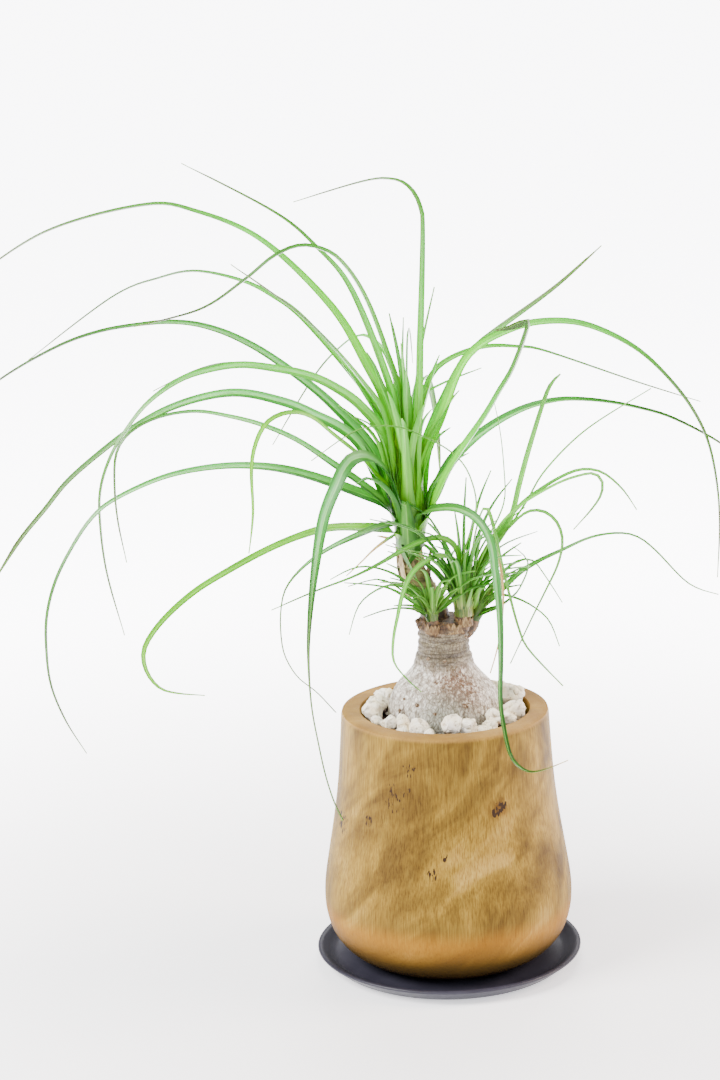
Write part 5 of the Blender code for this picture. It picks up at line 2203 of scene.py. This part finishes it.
# Dead leaf base: thin, fibrous and dull, tan with brown edges
papery.use_nodes = True
tree = papery.node_tree
lane = add_node(tree, "ShaderNodeAttribute", {"attribute_name": "lane"}).outputs["Fac"]
run = add_node(tree, "ShaderNodeAttribute", {"attribute_name": "run"}).outputs["Fac"]
tone = add_node(tree, "ShaderNodeAttribute", {"attribute_name": "tone"}).outputs["Fac"]
short_run = add_node(
    tree, "ShaderNodeMath", {"operation": "MULTIPLY"}, {0: run, 1: 0.12}
).outputs["Value"]
strip = add_node(
    tree, "ShaderNodeCombineXYZ", inputs={"X": lane, "Y": short_run, "Z": tone}
).outputs["Vector"]
fibre = add_node(
    tree,
    "ShaderNodeTexNoise",
    inputs={"Vector": strip, "Scale": 1.6, "Detail": 4.0, "Roughness": 0.65},
).outputs["Fac"]
pale = add_node(
    tree,
    "ShaderNodeValToRGB",
    inputs={"Fac": fibre},
    stops=[(0.32, "7E6540"), (0.5, "B19A6C"), (0.68, "DDD0A4")],
).outputs["Color"]
red = add_node(
    tree,
    "ShaderNodeValToRGB",
    inputs={"Fac": fibre},
    stops=[(0.32, "3A2410"), (0.5, "644624"), (0.68, "94784C")],
).outputs["Color"]
mixed = add_node(tree, "ShaderNodeMix", BLEND, {0: tone, 6: pale, 7: red}).outputs[2]
skin = add_node(
    tree, "ShaderNodeBump", inputs={"Strength": 0.6, "Distance": 0.0004, "Height": fibre}
)
shader = tree.nodes["Principled BSDF"]
tree.links.new(mixed, shader.inputs["Base Color"])
tree.links.new(skin.outputs["Normal"], shader.inputs["Normal"])
shader.inputs["Roughness"].default_value = 0.72
print("made", papery.name)

# %% [markdown]
# Four pale curls stand off the tall branch. Torn collars go round its foot, under its
# crown, round the middle and left stubs and along the top of the neck. All of them are
# short leaves too, so the same maker bends them, and they are thickened together.

# %% Dry sheaths
# A collar lower than this is an old one, all torn and reddish
OLD_COLLAR = 6.0
SHEATH_THICKNESS = 0.4
CURLS = [
    # bearing, and the reach and height of the tip
    (168, 16, 25),
    (208, 14, 20),
    (20, 12, 20),
    (95, 13, 22),
]
bm = bmesh.new()
for layer in LAYERS:
    bm.verts.layers.float.new(layer)
bm.verts.layers.float_vector.new("up")
pick = random.Random(5)
curl_foot = Vector((-20.0, 1.0, 314.0))
for bearing, reach, rise in CURLS:
    line = [(9.8, -14), (10.2, -6), (reach - 2, 5), (reach, rise), (reach + 2.5, rise + 1)]
    marks = {"fresh": 0.0, "tone": 0.1, "dry": 0.0}
    hug = [(-20, 10.5), (0, 10.3), (30, 9.5)]
    add_leaf(bm, curl_foot, bearing, 9.0, line, hug, 30, 0.3, marks)
COLLARS = [
    # foot of the collar, radius, bearings from and to, how many torn scales, their height
    (Vector((-10.0, 3.0, 290.0)), 11.2, 150, 340, 5, 8.0),
    (CROWN - UPWARD * 12, 9.6, 0, 360, 8, 12.0),
    (FRONT_SHOOT - UPWARD * 5, 6.3, 170, 380, 9, 4.6),
    (LEFT_SHOOT - UPWARD * 7, 5.6, 150, 360, 8, 4.6),
    (Vector((4.0, -3.0, 276.0)), 15.0, 190, 340, 9, 5.5),
]
for foot, radius, first, last, number, tall in COLLARS:
    for index in range(number):
        bearing = first + (last - first) * (index + pick.uniform(-0.3, 0.3)) / number
        top = tall * pick.uniform(0.5, 1.3)
        flare = pick.uniform(0.0, 1.4)
        line = [(radius - 0.6, -4), (radius, 0.3 * top), (radius + flare, top)]
        marks = {"fresh": 0.0, "tone": pick.uniform(0.1, 0.7), "dry": 0.0}
        if tall < OLD_COLLAR:
            marks["tone"] = pick.uniform(0.75, 1.0)
        wide = pick.uniform(0.4, 0.7) * min(radius, 10.0)
        hug = [(-30, radius), (60, radius)]
        add_leaf(bm, foot, bearing, wide, line, hug, 30, 0.15, marks)
bmesh.ops.recalc_face_normals(bm, faces=bm.faces)
bmesh.ops.solidify(bm, geom=bm.faces[:], thickness=SHEATH_THICKNESS)
bmesh.ops.recalc_face_normals(bm, faces=bm.faces)
bm.verts.layers.float_vector.remove(bm.verts.layers.float_vector["up"])
write_piece("dry_sheaths", bm, papery, "caudex", sharp=50.0)
